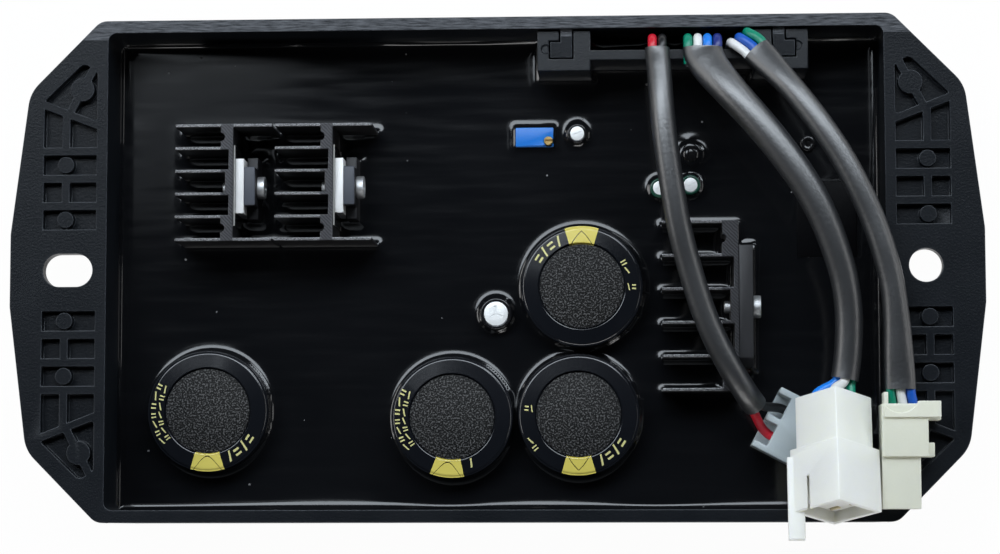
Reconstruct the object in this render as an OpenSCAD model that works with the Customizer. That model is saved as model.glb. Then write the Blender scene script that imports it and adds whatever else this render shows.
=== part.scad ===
// Potted automatic voltage regulator for a generator: an open moulded tray with two fixing ears,
// a circuit board under black potting compound, heat sinks, capacitors, a trimmer and three cables.
// The frame stands on the underside of the tray: X along the ears, Y across, Z up to the open side.

/* [Housing] */
// Distance from the middle of a fixing hole to the end of its ear
hole_from_end = 14.3; // [13:0.1:15]
// Diameter of the fixing hole, and width of the slot
hole_d = 8.2; // [6:0.1:9]
// Length of the fixing slot
slot_length = 12.3; // [10:0.1:14]
// Length over the two ears
housing_length = 238.6; // [234:0.2:248]
// Width over the long walls
housing_width = 124; // [122:0.5:132]
// Height from the underside to the rim
housing_height = 38; // [38:0.5:42]
// Length of each ear beyond the tray
ear_length = 21.2; // [20:0.1:22]
// Thickness of the long walls
long_wall = 3.1; // [2:0.1:3.6]
// Thickness of the end walls
end_wall = 2.7; // [2:0.1:3.6]
// Thickness of the floor
floor_t = 2.5; // [1.5:0.1:3]
// Corner radius of the open inside
cavity_corner_r = 2; // [0.5:0.1:4]
// Corner radius of the tray outside
tray_corner_r = 4; // [2:0.1:6]
// Thickness of the ears
ear_t = 4; // [3:0.1:6]
// Depth of the pockets in the ears
pocket_depth = 2.4; // [1:0.1:2.8]
// Width of the ribs between the pockets
pocket_rib = 2; // [1.2:0.1:2.6]
// Width of the solid border outside the pockets
ear_border = 8.1; // [7:0.1:9]

/* [Board and potting] */
// Depth of the potting compound over the board
potting_depth = 12.9; // [12:0.1:13.5]
// Height of the posts under the board
post_h = 3; // [2:0.1:3.5]
// Diameter of the posts under the board
post_d = 7; // [5:0.5:9]
// Thickness of the board
board_t = 1.6; // [1:0.1:2]
// Gap between the board and the walls
board_clearance = 1; // [0.3:0.1:2]

/* [Heat sinks] */
// Height of the two transistor heat sinks
small_sink_h = 30; // [28:0.5:32]
// Width over the fins of a transistor heat sink
small_sink_w = 29.1; // [28:0.1:30]
// Length of its fins from the mounting face
small_fin_length = 14.4; // [12:0.1:14.8]
// Length of the two flanges beyond the mounting face
flange_length = 9.6; // [8.5:0.1:9.9]
// Height of the rectifier heat sink
large_sink_h = 24; // [23.5:0.5:26]
// Width over the fins of the rectifier heat sink
large_sink_w = 42.1; // [38:0.1:44]
// Length of its fins from the mounting face
large_fin_length = 18.8; // [16:0.1:19]
// Thickness of every fin
fin_t = 0.8; // [0.6:0.1:1.2]
// Thickness of the heat sink wall behind the fixing screw
sink_wall = 2; // [1.6:0.1:2.6]
// Diameter of the round grooves in the wall's end blocks
groove_d = 2; // [1.2:0.1:2.4]

/* [Power devices] */
// Height of a transistor package
transistor_h = 19.9; // [18:0.1:21]
// Width of a transistor moulding
transistor_w = 15.6; // [14:0.1:17]
// Width of the transistor's metal tab
tab_w = 13.6; // [12:0.1:14]
// Thickness of the metal tab
tab_t = 2; // [1.5:0.1:2.2]
// Thickness of the moulding in front of the tab
moulding_t = 2.8; // [2.4:0.1:3]
// Drop from the top of a heat sink to its transistor
transistor_drop = 2.6; // [2:0.1:4]
// Thickness of the insulating sheet
sheet_t = 0.3; // [0.2:0.05:0.4]
// Width of the insulating sheet
sheet_w = 20; // [17:0.5:22]
// Length of the rectifier
rectifier_w = 30; // [27:0.1:32]
// Height of the rectifier
rectifier_h = 20; // [18:0.1:20.5]
// Thickness of the rectifier
rectifier_t = 3.6; // [3.2:0.1:4.6]
// Diameter of the fixing screws
screw_d = 3; // [2.5:0.1:3.2]
// Diameter of the screw heads
screw_head_d = 5.6; // [5:0.1:6]

/* [Capacitors] */
// Diameter of the four main capacitors
main_cap_d = 30; // [28:0.1:30.6]
// Height of the four main capacitors
main_cap_h = 20; // [18:0.1:24]
// Diameter of the bare disc on top
disc_d = 21; // [16:0.1:24]
// Thickness of the capacitor sleeves
sleeve_t = 0.4; // [0.2:0.05:0.5]
// Diameter of the filter capacitor
filter_cap_d = 8; // [6.3:0.1:9]
// Height of the filter capacitor
filter_cap_h = 16; // [15:0.1:18]
// Diameter of the signal capacitors
signal_cap_d = 5; // [4:0.1:6]
// Height of the signal capacitors
signal_cap_h = 11; // [9:0.1:12]
// Length of the signal capacitors' leads above the board
signal_lead = 4.5; // [4:0.1:6]

/* [Trimmer] */
// Length of the trimmer case
trimmer_l = 9.53; // [9:0.01:10]
// Width of the trimmer case
trimmer_w = 4.83; // [4.6:0.01:5.2]
// Height of the trimmer case
trimmer_h = 10; // [9:0.1:11]
// Length of the trimmer's pins above the board
trimmer_pin = 5; // [4.5:0.1:6]
// Diameter of the adjusting screw
adjuster_d = 2.19; // [1.8:0.01:2.3]
// Gap round the adjusting screw
adjuster_clearance = 0.05; // [0.02:0.01:0.1]

/* [Cable guide] */
// Length of the guide bar
guide_length = 66.4; // [64:0.1:68]
// Width of the guide's end blocks
guide_block = 13.1; // [12.5:0.1:14]
// Gap between the guide and the housing
guide_clearance = 0.3; // [0.2:0.05:0.5]
// Drop from the rim to the top of the guide
guide_drop = 1.5; // [1.2:0.1:3]

/* [Connectors] */
// Width of the two-way connector
two_way_w = 16.1; // [15:0.1:17]
// Height of the two-way connector
two_way_h = 10.3; // [9.5:0.1:10.6]
// Side of the four-way connector's rear part
four_way_rear = 13; // [12.6:0.1:13.6]
// Side of the four-way connector's shroud
four_way_front = 15.2; // [14.4:0.1:15.4]
// Width of the three-way connector
three_way_w = 11; // [10.8:0.1:12]
// Height of the three-way connector
three_way_h = 10; // [9.5:0.1:11]

/* [Cables] */
// Diameter of the wires
wire_d = 2.3; // [1.8:0.1:2.35]
// Diameter of the two round cable sleeves
round_sleeve_d = 6; // [5.8:0.1:6.4]
// Diameter of the four-wire cable sleeve
wide_sleeve_d = 7.8; // [7:0.1:8.2]

/* [Hidden] */
$fn = 48;

// Overshoot of cuts
cut = 1;

// Levels above the underside
board_bottom = floor_t + post_h;
board_top = board_bottom + board_t;
potting_top = board_top + potting_depth;
guide_top = housing_height - guide_drop;

// Half sizes of the housing in plan
half_x = housing_length / 2;
half_y = housing_width / 2;
tray_half_x = half_x - ear_length;
cavity_half_x = tray_half_x - end_wall;
cavity_half_y = half_y - long_wall;
hole_x = half_x - hole_from_end;
post_inset = 14;

// Plan of the ears in one quarter: the tip, the shoulder and the end of the slanted edge
tip_half = 9;
shoulder_in = 4.4;
shoulder_y = 44.2;
slant_end_in = 21.9;
ear_quarter = [
    [half_x, tip_half],
    [half_x - shoulder_in, shoulder_y],
    [half_x - slant_end_in, half_y]
];
ear_radii = [6, 9, 4];

// Ear pockets
pocket_in = tray_half_x;
pocket_out = half_x - ear_border;
inner_pocket_w = 6.6;
pocket_row_start = 10.1;
pocket_row_h = 4.8;
pocket_pitch = pocket_row_h + pocket_rib;
pocket_mid_x = pocket_in + inner_pocket_w;
row_boss_d = 4.1;
corner_boss_d = 5.9;
corner_boss_at = [pocket_in + 3.7, 44.9];
slant_low = 35;
slant_high = 40.1;
corner_top = 49.2;
corner_notch = [3.4, 2.3];
corner_radii = [0.6, 0.4, 1.6, 1];
corner_rib_turn = -62;
corner_rib_w = 2;

// Hooks of the housing that hold the cable guide
hook_head = 5.4;
hook_stem = 2.9;
hook_depth = 3.9;
hook_reach = 7;
hook_from_end = 3.2;

// Parts stand at set distances from the left or the right end of the open inside
left_end = -cavity_half_x;
right_end = cavity_half_x;

// Cable guide in plan
guide_centre_x = right_end - 51.4;
guide_x0 = guide_centre_x - guide_length / 2;
guide_depth = 10.3;
guide_bar_gap = 5.2;
guide_bar_t = 2.5;
guide_front = cavity_half_y - guide_depth;
guide_bar_back = cavity_half_y - guide_bar_gap;
guide_bar_front = guide_bar_back - guide_bar_t;

// Heat sinks in plan
sink_pitch = 24.7;
sink_left_x = left_end + 31.1;
sink_middle_x = sink_left_x + sink_pitch;
small_sink_y = 21.6;
sink_right_x = right_end - 35.5;
large_sink_y = -9;
fin_count = 6;
thin_web = 1.15;
end_block = 3.1;
large_end_block = 4;

// Power devices
transistor_shift_y = -0.6;
neck_w = 9.6;
neck_h = 6;
screw_below_top = 5;
screw_clearance = 0.1;
thread_clearance = 0.05;
screw_head_h = 2;
screw_tail = 1.5;
recess_w = 0.9;
recess_l = 3.4;
recess_depth = 1;
lead_w = 1.2;
lead_t = 0.6;
lead_pitch = 5.45;
sheet_above = 1;
sheet_h = 24;
rectifier_lift = 3.4;
rectifier_lead_at = [-10, -2.5, 5, 12.5];
rectifier_notch = 3;

// Capacitors
row_gap = 1.3;
pair_gap = 1.8;
main_cap_1 = [left_end + 23.7, -34.3];
main_cap_3 = [right_end - 60 - main_cap_d / 2, -35.5];
main_cap_2 = main_cap_3 - [main_cap_d + row_gap, 0.5];
main_cap_4 = main_cap_3 + [0.9, main_cap_d + pair_gap];
main_cap_at = [main_cap_1, main_cap_2, main_cap_3, main_cap_4];
shoulder_r = 1.2;
filter_cap_at = [right_end - 95.6, -10.1];
filter_disc_d = 6.1;
signal_cap_at = [[right_end - 75.2, 35.1], [right_end - 47, 21.9], [right_end - 54.6, 21.2]];
signal_disc_d = 3.7;
small_lead_d = 0.6;
ring_cap_at = [right_end - 17.6, 32.3];
ring_cap_d = 4;
ring_cap_dish = 0.5;
ring_cap_above = 1;
ring_cap_top = potting_top + ring_cap_above;
dipped_at = [right_end - 46.8, 29.8];
dipped_d = 5.4;
dipped_above = 1.8;
film_at = [right_end - 13.1, 13.3];
film_size = [15, 19];
film_above = 0.4;

// Trimmer
trimmer_at = [right_end - 85.9, 34.3];
adjuster_offset = [3.5, -1.1];
adjuster_depth = 4;
adjuster_proud = 0.8;
adjuster_slot_w = 0.5;
adjuster_slot_depth = 0.5;
adjuster_end_gap = 0.02;
pin_d = 0.6;
pin_pitch = 2.54;

// Cables: the wires rise behind the guide, bend over it and enter the sleeves.
// Their routes are given from the middle of the guide along X, and from the rim in height.
wire_from_wall = 2.6;
wire_root_y = cavity_half_y - wire_from_wall;
wire_pitch = 2.4;
function routed(points) = [for (p = points) [guide_centre_x + p.x, p.y, housing_height + p.z]];
sleeve_route_1 = routed([
    [-3.7, 53.5, 2], [-3.3, 47.5, 3.8], [-2.8, 40, 5.8], [-2, 30.8, 6.6], [-0.5, 19.6, 6.2],
    [1.4, 8.7, 4.8], [3.9, -1, 3], [6.8, -10.3, 1.4], [9.8, -17.6, 0.2], [13.6, -24.8, -1.2],
    [17.2, -30.5, -3.6], [19.6, -33.6, -6.6]
]);
sleeve_route_2 = routed([
    [7.4, 53.5, 2], [8.8, 49, 3.6], [13.6, 42.4, 6.4], [20.3, 34.4, 8.2], [26.4, 26.5, 9],
    [31.6, 18.9, 9], [35.5, 11.6, 8.5], [38.5, 4, 7.5], [40.7, -3.4, 6.2], [41.8, -11.1, 4.8],
    [41.8, -19, 3.6], [40.8, -27.8, 2.7]
]);
sleeve_route_3 = routed([
    [20.4, 52.6, 2.6], [23.4, 49, 4.4], [26.7, 44.9, 6.4], [30.6, 39.9, 8.2], [35.4, 33.1, 9.5],
    [40, 25.9, 10], [43.9, 18.5, 10], [47.3, 10.9, 9.4], [50, 3.1, 8.8], [52, -4.8, 7.8],
    [53, -12.7, 7], [53.5, -21.4, 6.3], [53.9, -30.4, 5.5]
]);
wire_start = [0, -1, 0];
sleeve_start_3 = [0.62, -0.72, 0.3];
sleeve_end_1 = [0.5, -0.62, -0.6];
sleeve_end_2 = [-0.2, -0.98, 0];
sleeve_end_3 = [0, -1, 0];
round_sides = 12;
wire_sides = 8;
flat_rings = 3;
flat_four = [4.9, 3];
flat_three = [3.7, 2.1];
taper_rings = 5;
narrow_end_r = 3.35;
bundle_reach = 1.68;
tail_run = 1;
// The three-wire cable rises left of its sleeve, in a slanted row, and turns towards it above the guide
turned_root_x = guide_centre_x + 16.3;
turned_root_z = housing_height - 0.8;
turned_row = [cos(33), sin(33)];
turned_rise = 1.9;
turned_lean = [0.3, -0.3, 1];
turned_run = 2;

// Two-way connector, lying on the potting compound
two_way_at = [right_end - 29, -36.1];
two_way_turn = -27.7;
two_way_length = 24;
two_way_notch = 3.5;
two_way_post = 1.6;
two_way_mouth = 9;
two_way_wall = 1.4;
two_way_axis = [cos(two_way_turn), sin(two_way_turn), 0];
two_way_side = [-sin(two_way_turn), cos(two_way_turn), 0];
two_way_cell = (two_way_w - 3 * two_way_post) / 2;

// Four-way connector, standing on its edge on the rim, with its mouth raised
four_way_x = right_end - 13.5;
four_way_tilt = 16;
four_way_length = 28.6;
four_way_step = 13.1;
four_way_wall = 1.3;
four_way_mouth = 12;
four_way_cell = 3;
four_way_seat = 0.25;
four_way_axis = [0, -cos(four_way_tilt), sin(four_way_tilt)];
four_way_up = [0, sin(four_way_tilt), cos(four_way_tilt)];
four_way_half = four_way_front / sqrt(2);
four_way_in = 26.6;
four_way_rear_y = four_way_in - cavity_half_y;
// The shroud's lower edge rests on the inner edge of the rim
four_way_rear_z = housing_height + four_way_seat + four_way_half / cos(four_way_tilt)
    - four_way_in * tan(four_way_tilt);
four_way_at = [four_way_x, four_way_rear_y, four_way_rear_z];
latch_w = 4;
latch_t = 1.6;
latch_start = 15;
latch_end = 35.4;
latch_out = 0.7;

// Three-way connector, lying flat on the rim and the ear
three_way_at = [right_end + 3.1, -34];
three_way_seat = 0.05;
three_way_length = 25;
three_way_step = 12.6;
three_way_front_w = 9.2;
three_way_wall = 1.2;
three_way_mouth = 8;
three_way_lip = 1.2;
three_way_cell = 2.6;
three_way_z = housing_height + three_way_seat + three_way_h / 2;
lug_out = [3.4, 1.8];
lug_at = [0.4, 9.2];
lug_l = [3.4, 3.4];
lug_h = 6;

// Terminals in the connector mouths
terminal_w = 2.8;
terminal_t = 0.8;
terminal_gap = 2;

function unit(v) = v / norm(v);

// Points of a round corner of radius r at b, between its neighbours a and c
function arc_corner(a, b, c, r, n) =
    let (
        u = unit(a - b),
        v = unit(c - b),
        half = acos(u * v) / 2,
        centre = b + unit(u + v) * (r / sin(half)),
        from = b + u * (r / tan(half)) - centre,
        to = b + v * (r / tan(half)) - centre,
        start = atan2(from.y, from.x),
        turn = atan2(to.y, to.x) - start,
        sweep = turn > 180 ? turn - 360 : turn < -180 ? turn + 360 : turn
    )
    [for (i = [0:n]) centre + r * [cos(start + sweep * i / n), sin(start + sweep * i / n)]];

// A closed outline with a radius at each corner
function rounded(points, radii, n = 6) =
    let (count = len(points))
    [for (i = [0:count - 1])
        each arc_corner(points[(i + count - 1) % count], points[i], points[(i + 1) % count], radii[i], n)];

function rounded_box(hx, hy, r) =
    rounded([[hx, -hy], [hx, hy], [-hx, hy], [-hx, -hy]], [r, r, r, r]);

// An outline in one quarter, repeated in all four quarters
function four_fold(q) = concat(
    q,
    [for (i = [len(q) - 1:-1:0]) [-q[i].x, q[i].y]],
    [for (p = q) -p],
    [for (i = [len(q) - 1:-1:0]) [q[i].x, -q[i].y]]
);

function four_fold_radii(r) =
    let (back = [for (i = [len(r) - 1:-1:0]) r[i]])
    concat(r, back, r, back);

// Directions of a tube's rings, with given directions at its two ends
function ring_directions(points, first, last) =
    [for (i = [0:len(points) - 1])
        i == 0 ? unit(first) : i == len(points) - 1 ? unit(last) : unit(points[i + 1] - points[i - 1])];

// Sideways and upward directions across a tube that runs along t
function ring_side(t, above = [0, 0, 1]) = unit(cross(t, above));
function ring_up(t, above = [0, 0, 1]) = cross(ring_side(t, above), t);

function ring(p, t, size, sides, above) =
    [for (k = [0:sides - 1])
        let (a = 360 * (k + 0.5) / sides)
        p + size[0] * cos(a) * ring_side(t, above) + size[1] * sin(a) * ring_up(t, above)];

// A solid tube along a route, with a half width and half height at each ring
module tube(points, sizes, first, last, sides, above = [0, 0, 1]) {
    directions = ring_directions(points, first, last);
    count = len(points);
    rings = [for (i = [0:count - 1]) each ring(points[i], directions[i], sizes[i], sides, above)];
    walls = [for (i = [0:count - 2], k = [0:sides - 1])
        let (a = i * sides + k, b = i * sides + (k + 1) % sides)
        each [[a, b, b + sides], [a, b + sides, a + sides]]];
    ends = [
        [for (k = [sides - 1:-1:0]) k],
        [for (k = [0:sides - 1]) (count - 1) * sides + k]
    ];
    polyhedron(rings, concat(walls, ends));
}

module in_quarters() {
    for (mx = [0, 1], my = [0, 1])
        mirror([mx, 0, 0]) mirror([0, my, 0]) children();
}

module plan_block(outline, z0, z1) {
    translate([0, 0, z0]) linear_extrude(z1 - z0) polygon(outline);
}

module box(x0, x1, y0, y1, z0, z1) {
    translate([x0, y0, z0]) cube([x1 - x0, y1 - y0, z1 - z0]);
}

module pin_between(at, z0, z1, d) {
    translate([at.x, at.y, z0]) cylinder(h = z1 - z0, d = d);
}

// Pockets of one quarter of the ears, in plan
module ear_pockets() {
    for (row = [0, 2])
        difference() {
            translate([pocket_in, pocket_row_start + row * pocket_pitch])
                square([pocket_out - pocket_in, pocket_row_h]);
            translate([
                pocket_mid_x + pocket_rib / 2,
                pocket_row_start + row * pocket_pitch + pocket_row_h / 2
            ])
                circle(d = row_boss_d);
        }
    translate([pocket_in, pocket_row_start + pocket_pitch])
        square([inner_pocket_w, pocket_row_h]);
    translate([pocket_mid_x + pocket_rib, pocket_row_start + pocket_pitch])
        square([pocket_out - pocket_mid_x - pocket_rib, pocket_row_h]);
    slanted_pockets();
    corner_pocket();
}

module slanted_pockets() {
    row_y = pocket_row_start + 3 * pocket_pitch;
    rise = (slant_high - slant_low) / (pocket_out - pocket_in);
    mid_low = slant_low + inner_pocket_w * rise;
    mid_high = mid_low + pocket_rib * rise;
    polygon([[pocket_in, row_y], [pocket_mid_x, row_y], [pocket_mid_x, mid_low], [pocket_in, slant_low]]);
    polygon([
        [pocket_mid_x + pocket_rib, row_y], [pocket_out, row_y],
        [pocket_out, slant_high], [pocket_mid_x + pocket_rib, mid_high]
    ]);
}

module corner_pocket() {
    difference() {
        polygon(rounded([
            [pocket_in, slant_low + pocket_rib],
            [pocket_out, slant_high + pocket_rib],
            [pocket_in + corner_notch.x, corner_top + corner_notch.y],
            [pocket_in, corner_top]
        ], corner_radii));
        translate(corner_boss_at) circle(d = corner_boss_d);
        translate(corner_boss_at) rotate(corner_rib_turn)
            square([housing_width, corner_rib_w], center = true);
    }
}

// One hook on the long wall, seen in plan from its corner on the wall, its head towards -X
module hook_plan(grow) {
    translate([-grow, -hook_reach - grow])
        square([hook_head + 2 * grow, hook_depth + 2 * grow]);
    translate([hook_head - hook_stem - grow, -hook_reach])
        square([hook_stem + 2 * grow, hook_reach]);
}

module hooks_plan(grow) {
    for (side = [-1, 1])
        translate([guide_centre_x, cavity_half_y])
            mirror([side > 0 ? 1 : 0, 0])
                translate([-guide_length / 2 + hook_from_end, 0]) hook_plan(grow);
}

module housing() {
    color("#2c2e33") {
        difference() {
            union() {
                plan_block(rounded_box(tray_half_x, half_y, tray_corner_r), 0, housing_height);
                plan_block(
                    rounded(four_fold(ear_quarter), four_fold_radii(ear_radii)),
                    housing_height - ear_t, housing_height
                );
            }
            plan_block(
                rounded_box(cavity_half_x, cavity_half_y, cavity_corner_r),
                floor_t, housing_height + cut
            );
            in_quarters()
                translate([0, 0, housing_height - pocket_depth])
                    linear_extrude(pocket_depth + cut) ear_pockets();
            translate([hole_x, 0, housing_height - ear_t - cut])
                cylinder(h = ear_t + 2 * cut, d = hole_d);
            translate([-hole_x, 0, housing_height - ear_t - cut])
                linear_extrude(ear_t + 2 * cut) slot_plan();
        }
        board_posts();
        translate([0, 0, floor_t]) linear_extrude(guide_top - floor_t) hooks_plan(0);
    }
}

module slot_plan() {
    run = slot_length - hole_d;
    square([run, hole_d], center = true);
    for (side = [-1, 1])
        translate([side * run / 2, 0]) circle(d = hole_d);
}

module board_posts() {
    for (x = [-1, 0, 1], y = [-1, 1])
        translate([x * (cavity_half_x - post_inset), y * (cavity_half_y - post_inset), floor_t])
            cylinder(h = post_h, d = post_d);
}

module circuit_board() {
    color("#2f6b3a")
    difference() {
        plan_block(
            rounded_box(cavity_half_x - board_clearance, cavity_half_y - board_clearance, cavity_corner_r),
            board_bottom, board_top
        );
        translate([0, 0, board_bottom - cut])
            linear_extrude(board_t + 2 * cut) hooks_plan(guide_clearance);
    }
}

module potting_compound() {
    color("#101114")
    difference() {
        plan_block(rounded_box(cavity_half_x, cavity_half_y, cavity_corner_r), floor_t, potting_top);
        board_posts();
        translate([0, 0, floor_t - cut]) linear_extrude(guide_top) hooks_plan(0);
        circuit_board();
        board_parts();
    }
}

// Everything that stands on the board and reaches into the potting compound
module board_parts() {
    cable_guide();
    heat_sink_left();
    heat_sink_middle();
    heat_sink_right();
    transistor_left_case();
    transistor_left_leadframe();
    transistor_middle_case();
    transistor_middle_leadframe();
    insulating_sheet_left();
    insulating_sheet_middle();
    rectifier_case();
    rectifier_leads();
    for (at = main_cap_at)
        translate([at.x, at.y, board_top]) cylinder(h = main_cap_h - shoulder_r, d = main_cap_d);
    translate([filter_cap_at.x, filter_cap_at.y, board_top])
        cylinder(h = filter_cap_h, d = filter_cap_d);
    for (at = signal_cap_at) {
        translate([at.x, at.y, board_top + signal_lead]) cylinder(h = signal_cap_h, d = signal_cap_d);
        cap_leads(at, signal_cap_d, signal_lead);
    }
    ring_capacitor();
    dipped_capacitor();
    film_capacitor();
    trimmer_block();
    for (i = [0:1]) wire_root(sleeve_route_1, i, 2);
    for (i = [0:3]) wire_root(sleeve_route_2, i, 4);
    for (i = [0:2]) turned_wire_root(i);
}

module cable_guide() {
    color("#232429")
    translate([0, 0, board_top]) linear_extrude(guide_top - board_top)
        difference() {
            union() {
                for (side = [0, 1])
                    translate([guide_x0 + side * (guide_length - guide_block), guide_front])
                        square([guide_block, cavity_half_y - guide_clearance - guide_front]);
                translate([guide_x0, guide_bar_front])
                    square([guide_length, guide_bar_back - guide_bar_front]);
            }
            hooks_plan(guide_clearance);
        }
}

// Plan of a heat sink: its mounting face lies on x = 0, and its fins point to -X
module sink_plan(width, fin_length, flange, middle_wall, web, block) {
    pitch = (width - fin_t) / (fin_count - 1);
    walls = [block, web, middle_wall, web, block];
    for (i = [0:fin_count - 1]) {
        y = (i - (fin_count - 1) / 2) * pitch;
        reach = i == 0 || i == fin_count - 1 ? flange : 0;
        translate([-fin_length, y - fin_t / 2]) square([fin_length + reach, fin_t]);
    }
    for (i = [0:fin_count - 2]) {
        y = (i - (fin_count - 2) / 2) * pitch;
        difference() {
            translate([-walls[i], y - pitch / 2]) square([walls[i], pitch]);
            if (walls[i] == block)
                translate([-block, y]) circle(d = groove_d);
        }
    }
}

module screw_hole(z, y, from, to, clearance) {
    translate([from, y, z]) rotate([0, 90, 0])
        cylinder(h = to - from, d = screw_d + 2 * clearance);
}

transistor_top = board_top + small_sink_h - transistor_drop;
transistor_screw_z = transistor_top - screw_below_top;
transistor_y = small_sink_y + transistor_shift_y;
rectifier_top = board_top + rectifier_lift + rectifier_h;
rectifier_screw_z = rectifier_top - screw_below_top;

module small_heat_sink(face_x) {
    color("#26272b")
    difference() {
        translate([face_x, small_sink_y, board_top]) linear_extrude(small_sink_h)
            sink_plan(small_sink_w, small_fin_length, flange_length, sink_wall, thin_web, end_block);
        screw_hole(transistor_screw_z, transistor_y, face_x - sink_wall - cut, face_x + cut,
            thread_clearance);
    }
}

module heat_sink_left() {
    small_heat_sink(sink_left_x);
}

module heat_sink_middle() {
    small_heat_sink(sink_middle_x);
}

module heat_sink_right() {
    color("#26272b")
    difference() {
        translate([sink_right_x, large_sink_y, board_top]) linear_extrude(large_sink_h)
            sink_plan(large_sink_w, large_fin_length, 0, sink_wall, thin_web, large_end_block);
        screw_hole(rectifier_screw_z, large_sink_y, sink_right_x - sink_wall - cut, sink_right_x + cut,
            thread_clearance);
    }
}

module insulating_sheet(face_x) {
    color("#d8d6cc")
    difference() {
        box(face_x, face_x + sheet_t, transistor_y - sheet_w / 2, transistor_y + sheet_w / 2,
            transistor_top + sheet_above - sheet_h, transistor_top + sheet_above);
        screw_hole(transistor_screw_z, transistor_y, face_x - cut, face_x + sheet_t + cut, screw_clearance);
    }
}

module insulating_sheet_left() {
    insulating_sheet(sink_left_x);
}

module insulating_sheet_middle() {
    insulating_sheet(sink_middle_x);
}

module transistor_case(face_x) {
    front = face_x + sheet_t + tab_t;
    color("#6b7078")
    difference() {
        union() {
            box(front, front + moulding_t, transistor_y - transistor_w / 2, transistor_y + transistor_w / 2,
                transistor_top - transistor_h, transistor_top - neck_h);
            box(front, front + moulding_t, transistor_y - neck_w / 2, transistor_y + neck_w / 2,
                transistor_top - neck_h, transistor_top);
        }
        screw_hole(transistor_screw_z, transistor_y, front - cut, front + moulding_t + cut, screw_clearance);
    }
}

module transistor_left_case() {
    transistor_case(sink_left_x);
}

module transistor_middle_case() {
    transistor_case(sink_middle_x);
}

module transistor_leadframe(face_x) {
    back = face_x + sheet_t;
    color("#d9dbdd") {
        difference() {
            box(back, back + tab_t, transistor_y - tab_w / 2, transistor_y + tab_w / 2,
                transistor_top - transistor_h, transistor_top);
            screw_hole(transistor_screw_z, transistor_y, back - cut, back + tab_t + cut, screw_clearance);
        }
        for (i = [-1, 0, 1])
            translate([back + tab_t, transistor_y + i * lead_pitch - lead_w / 2, board_top])
                cube([lead_t, lead_w, transistor_top - transistor_h - board_top]);
    }
}

module transistor_left_leadframe() {
    transistor_leadframe(sink_left_x);
}

module transistor_middle_leadframe() {
    transistor_leadframe(sink_middle_x);
}

module rectifier_case() {
    color("#25262a")
    difference() {
        box(sink_right_x, sink_right_x + rectifier_t,
            large_sink_y - rectifier_w / 2, large_sink_y + rectifier_w / 2,
            rectifier_top - rectifier_h, rectifier_top);
        translate([sink_right_x + rectifier_t / 2, large_sink_y - rectifier_w / 2, rectifier_top])
            rotate([45, 0, 0])
                cube([rectifier_t + 2 * cut, rectifier_notch, rectifier_notch], center = true);
        screw_hole(rectifier_screw_z, large_sink_y, sink_right_x - cut, sink_right_x + rectifier_t + cut,
            screw_clearance);
    }
}

module rectifier_leads() {
    color("#c9cbcd")
    for (y = rectifier_lead_at)
        translate([sink_right_x + rectifier_t / 2 - lead_t / 2, large_sink_y + y - lead_w / 2, board_top])
            cube([lead_t, lead_w, rectifier_lift]);
}

// A pan head screw along -X, with its head's seat at the origin
module power_screw(grip) {
    difference() {
        rotate([0, 90, 0]) cylinder(h = screw_head_h, d = screw_head_d);
        for (turn = [0, 90])
            rotate([turn, 0, 0])
                translate([screw_head_h - recess_depth, -recess_w / 2, -recess_l / 2])
                    cube([recess_depth + cut, recess_w, recess_l]);
    }
    translate([-grip - screw_tail, 0, 0]) rotate([0, 90, 0])
        cylinder(h = grip + screw_tail, d = screw_d);
}

module power_screws() {
    stack = sheet_t + tab_t + moulding_t;
    color("#c4c6c8") {
        for (face_x = [sink_left_x, sink_middle_x])
            translate([face_x + stack, transistor_y, transistor_screw_z]) power_screw(stack + sink_wall);
        translate([sink_right_x + rectifier_t, large_sink_y, rectifier_screw_z])
            power_screw(rectifier_t + sink_wall);
    }
}

// Half section of a can's or sleeve's outside, from the axis at its foot to the axis at its top
function can_section(r, h, edge_r) = concat(
    [[0, 0], [r, 0]],
    [for (i = [0:6]) [r - edge_r + edge_r * cos(15 * i), h - edge_r + edge_r * sin(15 * i)]],
    [[0, h]]
);

module main_can(i) {
    color("#c8cacc")
    translate([main_cap_at[i].x, main_cap_at[i].y, board_top])
        rotate_extrude()
            polygon(can_section(main_cap_d / 2 - sleeve_t, main_cap_h - sleeve_t, shoulder_r - sleeve_t));
}

module main_sleeve(i) {
    color("#15161a")
    translate([main_cap_at[i].x, main_cap_at[i].y, board_top])
        rotate_extrude()
            difference() {
                polygon(can_section(main_cap_d / 2, main_cap_h, shoulder_r));
                polygon(can_section(main_cap_d / 2 - sleeve_t, main_cap_h - sleeve_t, shoulder_r - sleeve_t));
                translate([-cut, main_cap_h - sleeve_t - cut]) square([disc_d / 2 + cut, sleeve_t + 2 * cut]);
            }
}

module main_disc(i) {
    color("#3a3a3c")
    translate([main_cap_at[i].x, main_cap_at[i].y, board_top + main_cap_h - sleeve_t])
        cylinder(h = sleeve_t / 2, d = disc_d);
}

module cap_leads(at, d, lift) {
    for (side = [-1, 1])
        pin_between(at + [side * d / 4, 0], board_top, board_top + lift, small_lead_d);
}

// A small capacitor's can, its leads and its sleeve, on the board at a lift
module small_can(at, d, h, lift) {
    color("#cfd1d3") {
        translate([at.x, at.y, board_top + lift]) cylinder(h = h - sleeve_t, d = d - 2 * sleeve_t);
        cap_leads(at, d, lift);
    }
}

module small_sleeve(at, d, h, lift, hole) {
    translate([at.x, at.y, board_top + lift])
        difference() {
            cylinder(h = h, d = d);
            translate([0, 0, -cut]) cylinder(h = h - sleeve_t + cut, d = d - 2 * sleeve_t);
            cylinder(h = h + cut, d = hole);
        }
}

module filter_capacitor_can() {
    color("#cfd1d3")
    translate([filter_cap_at.x, filter_cap_at.y, board_top])
        cylinder(h = filter_cap_h - sleeve_t, d = filter_cap_d - 2 * sleeve_t);
}

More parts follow.
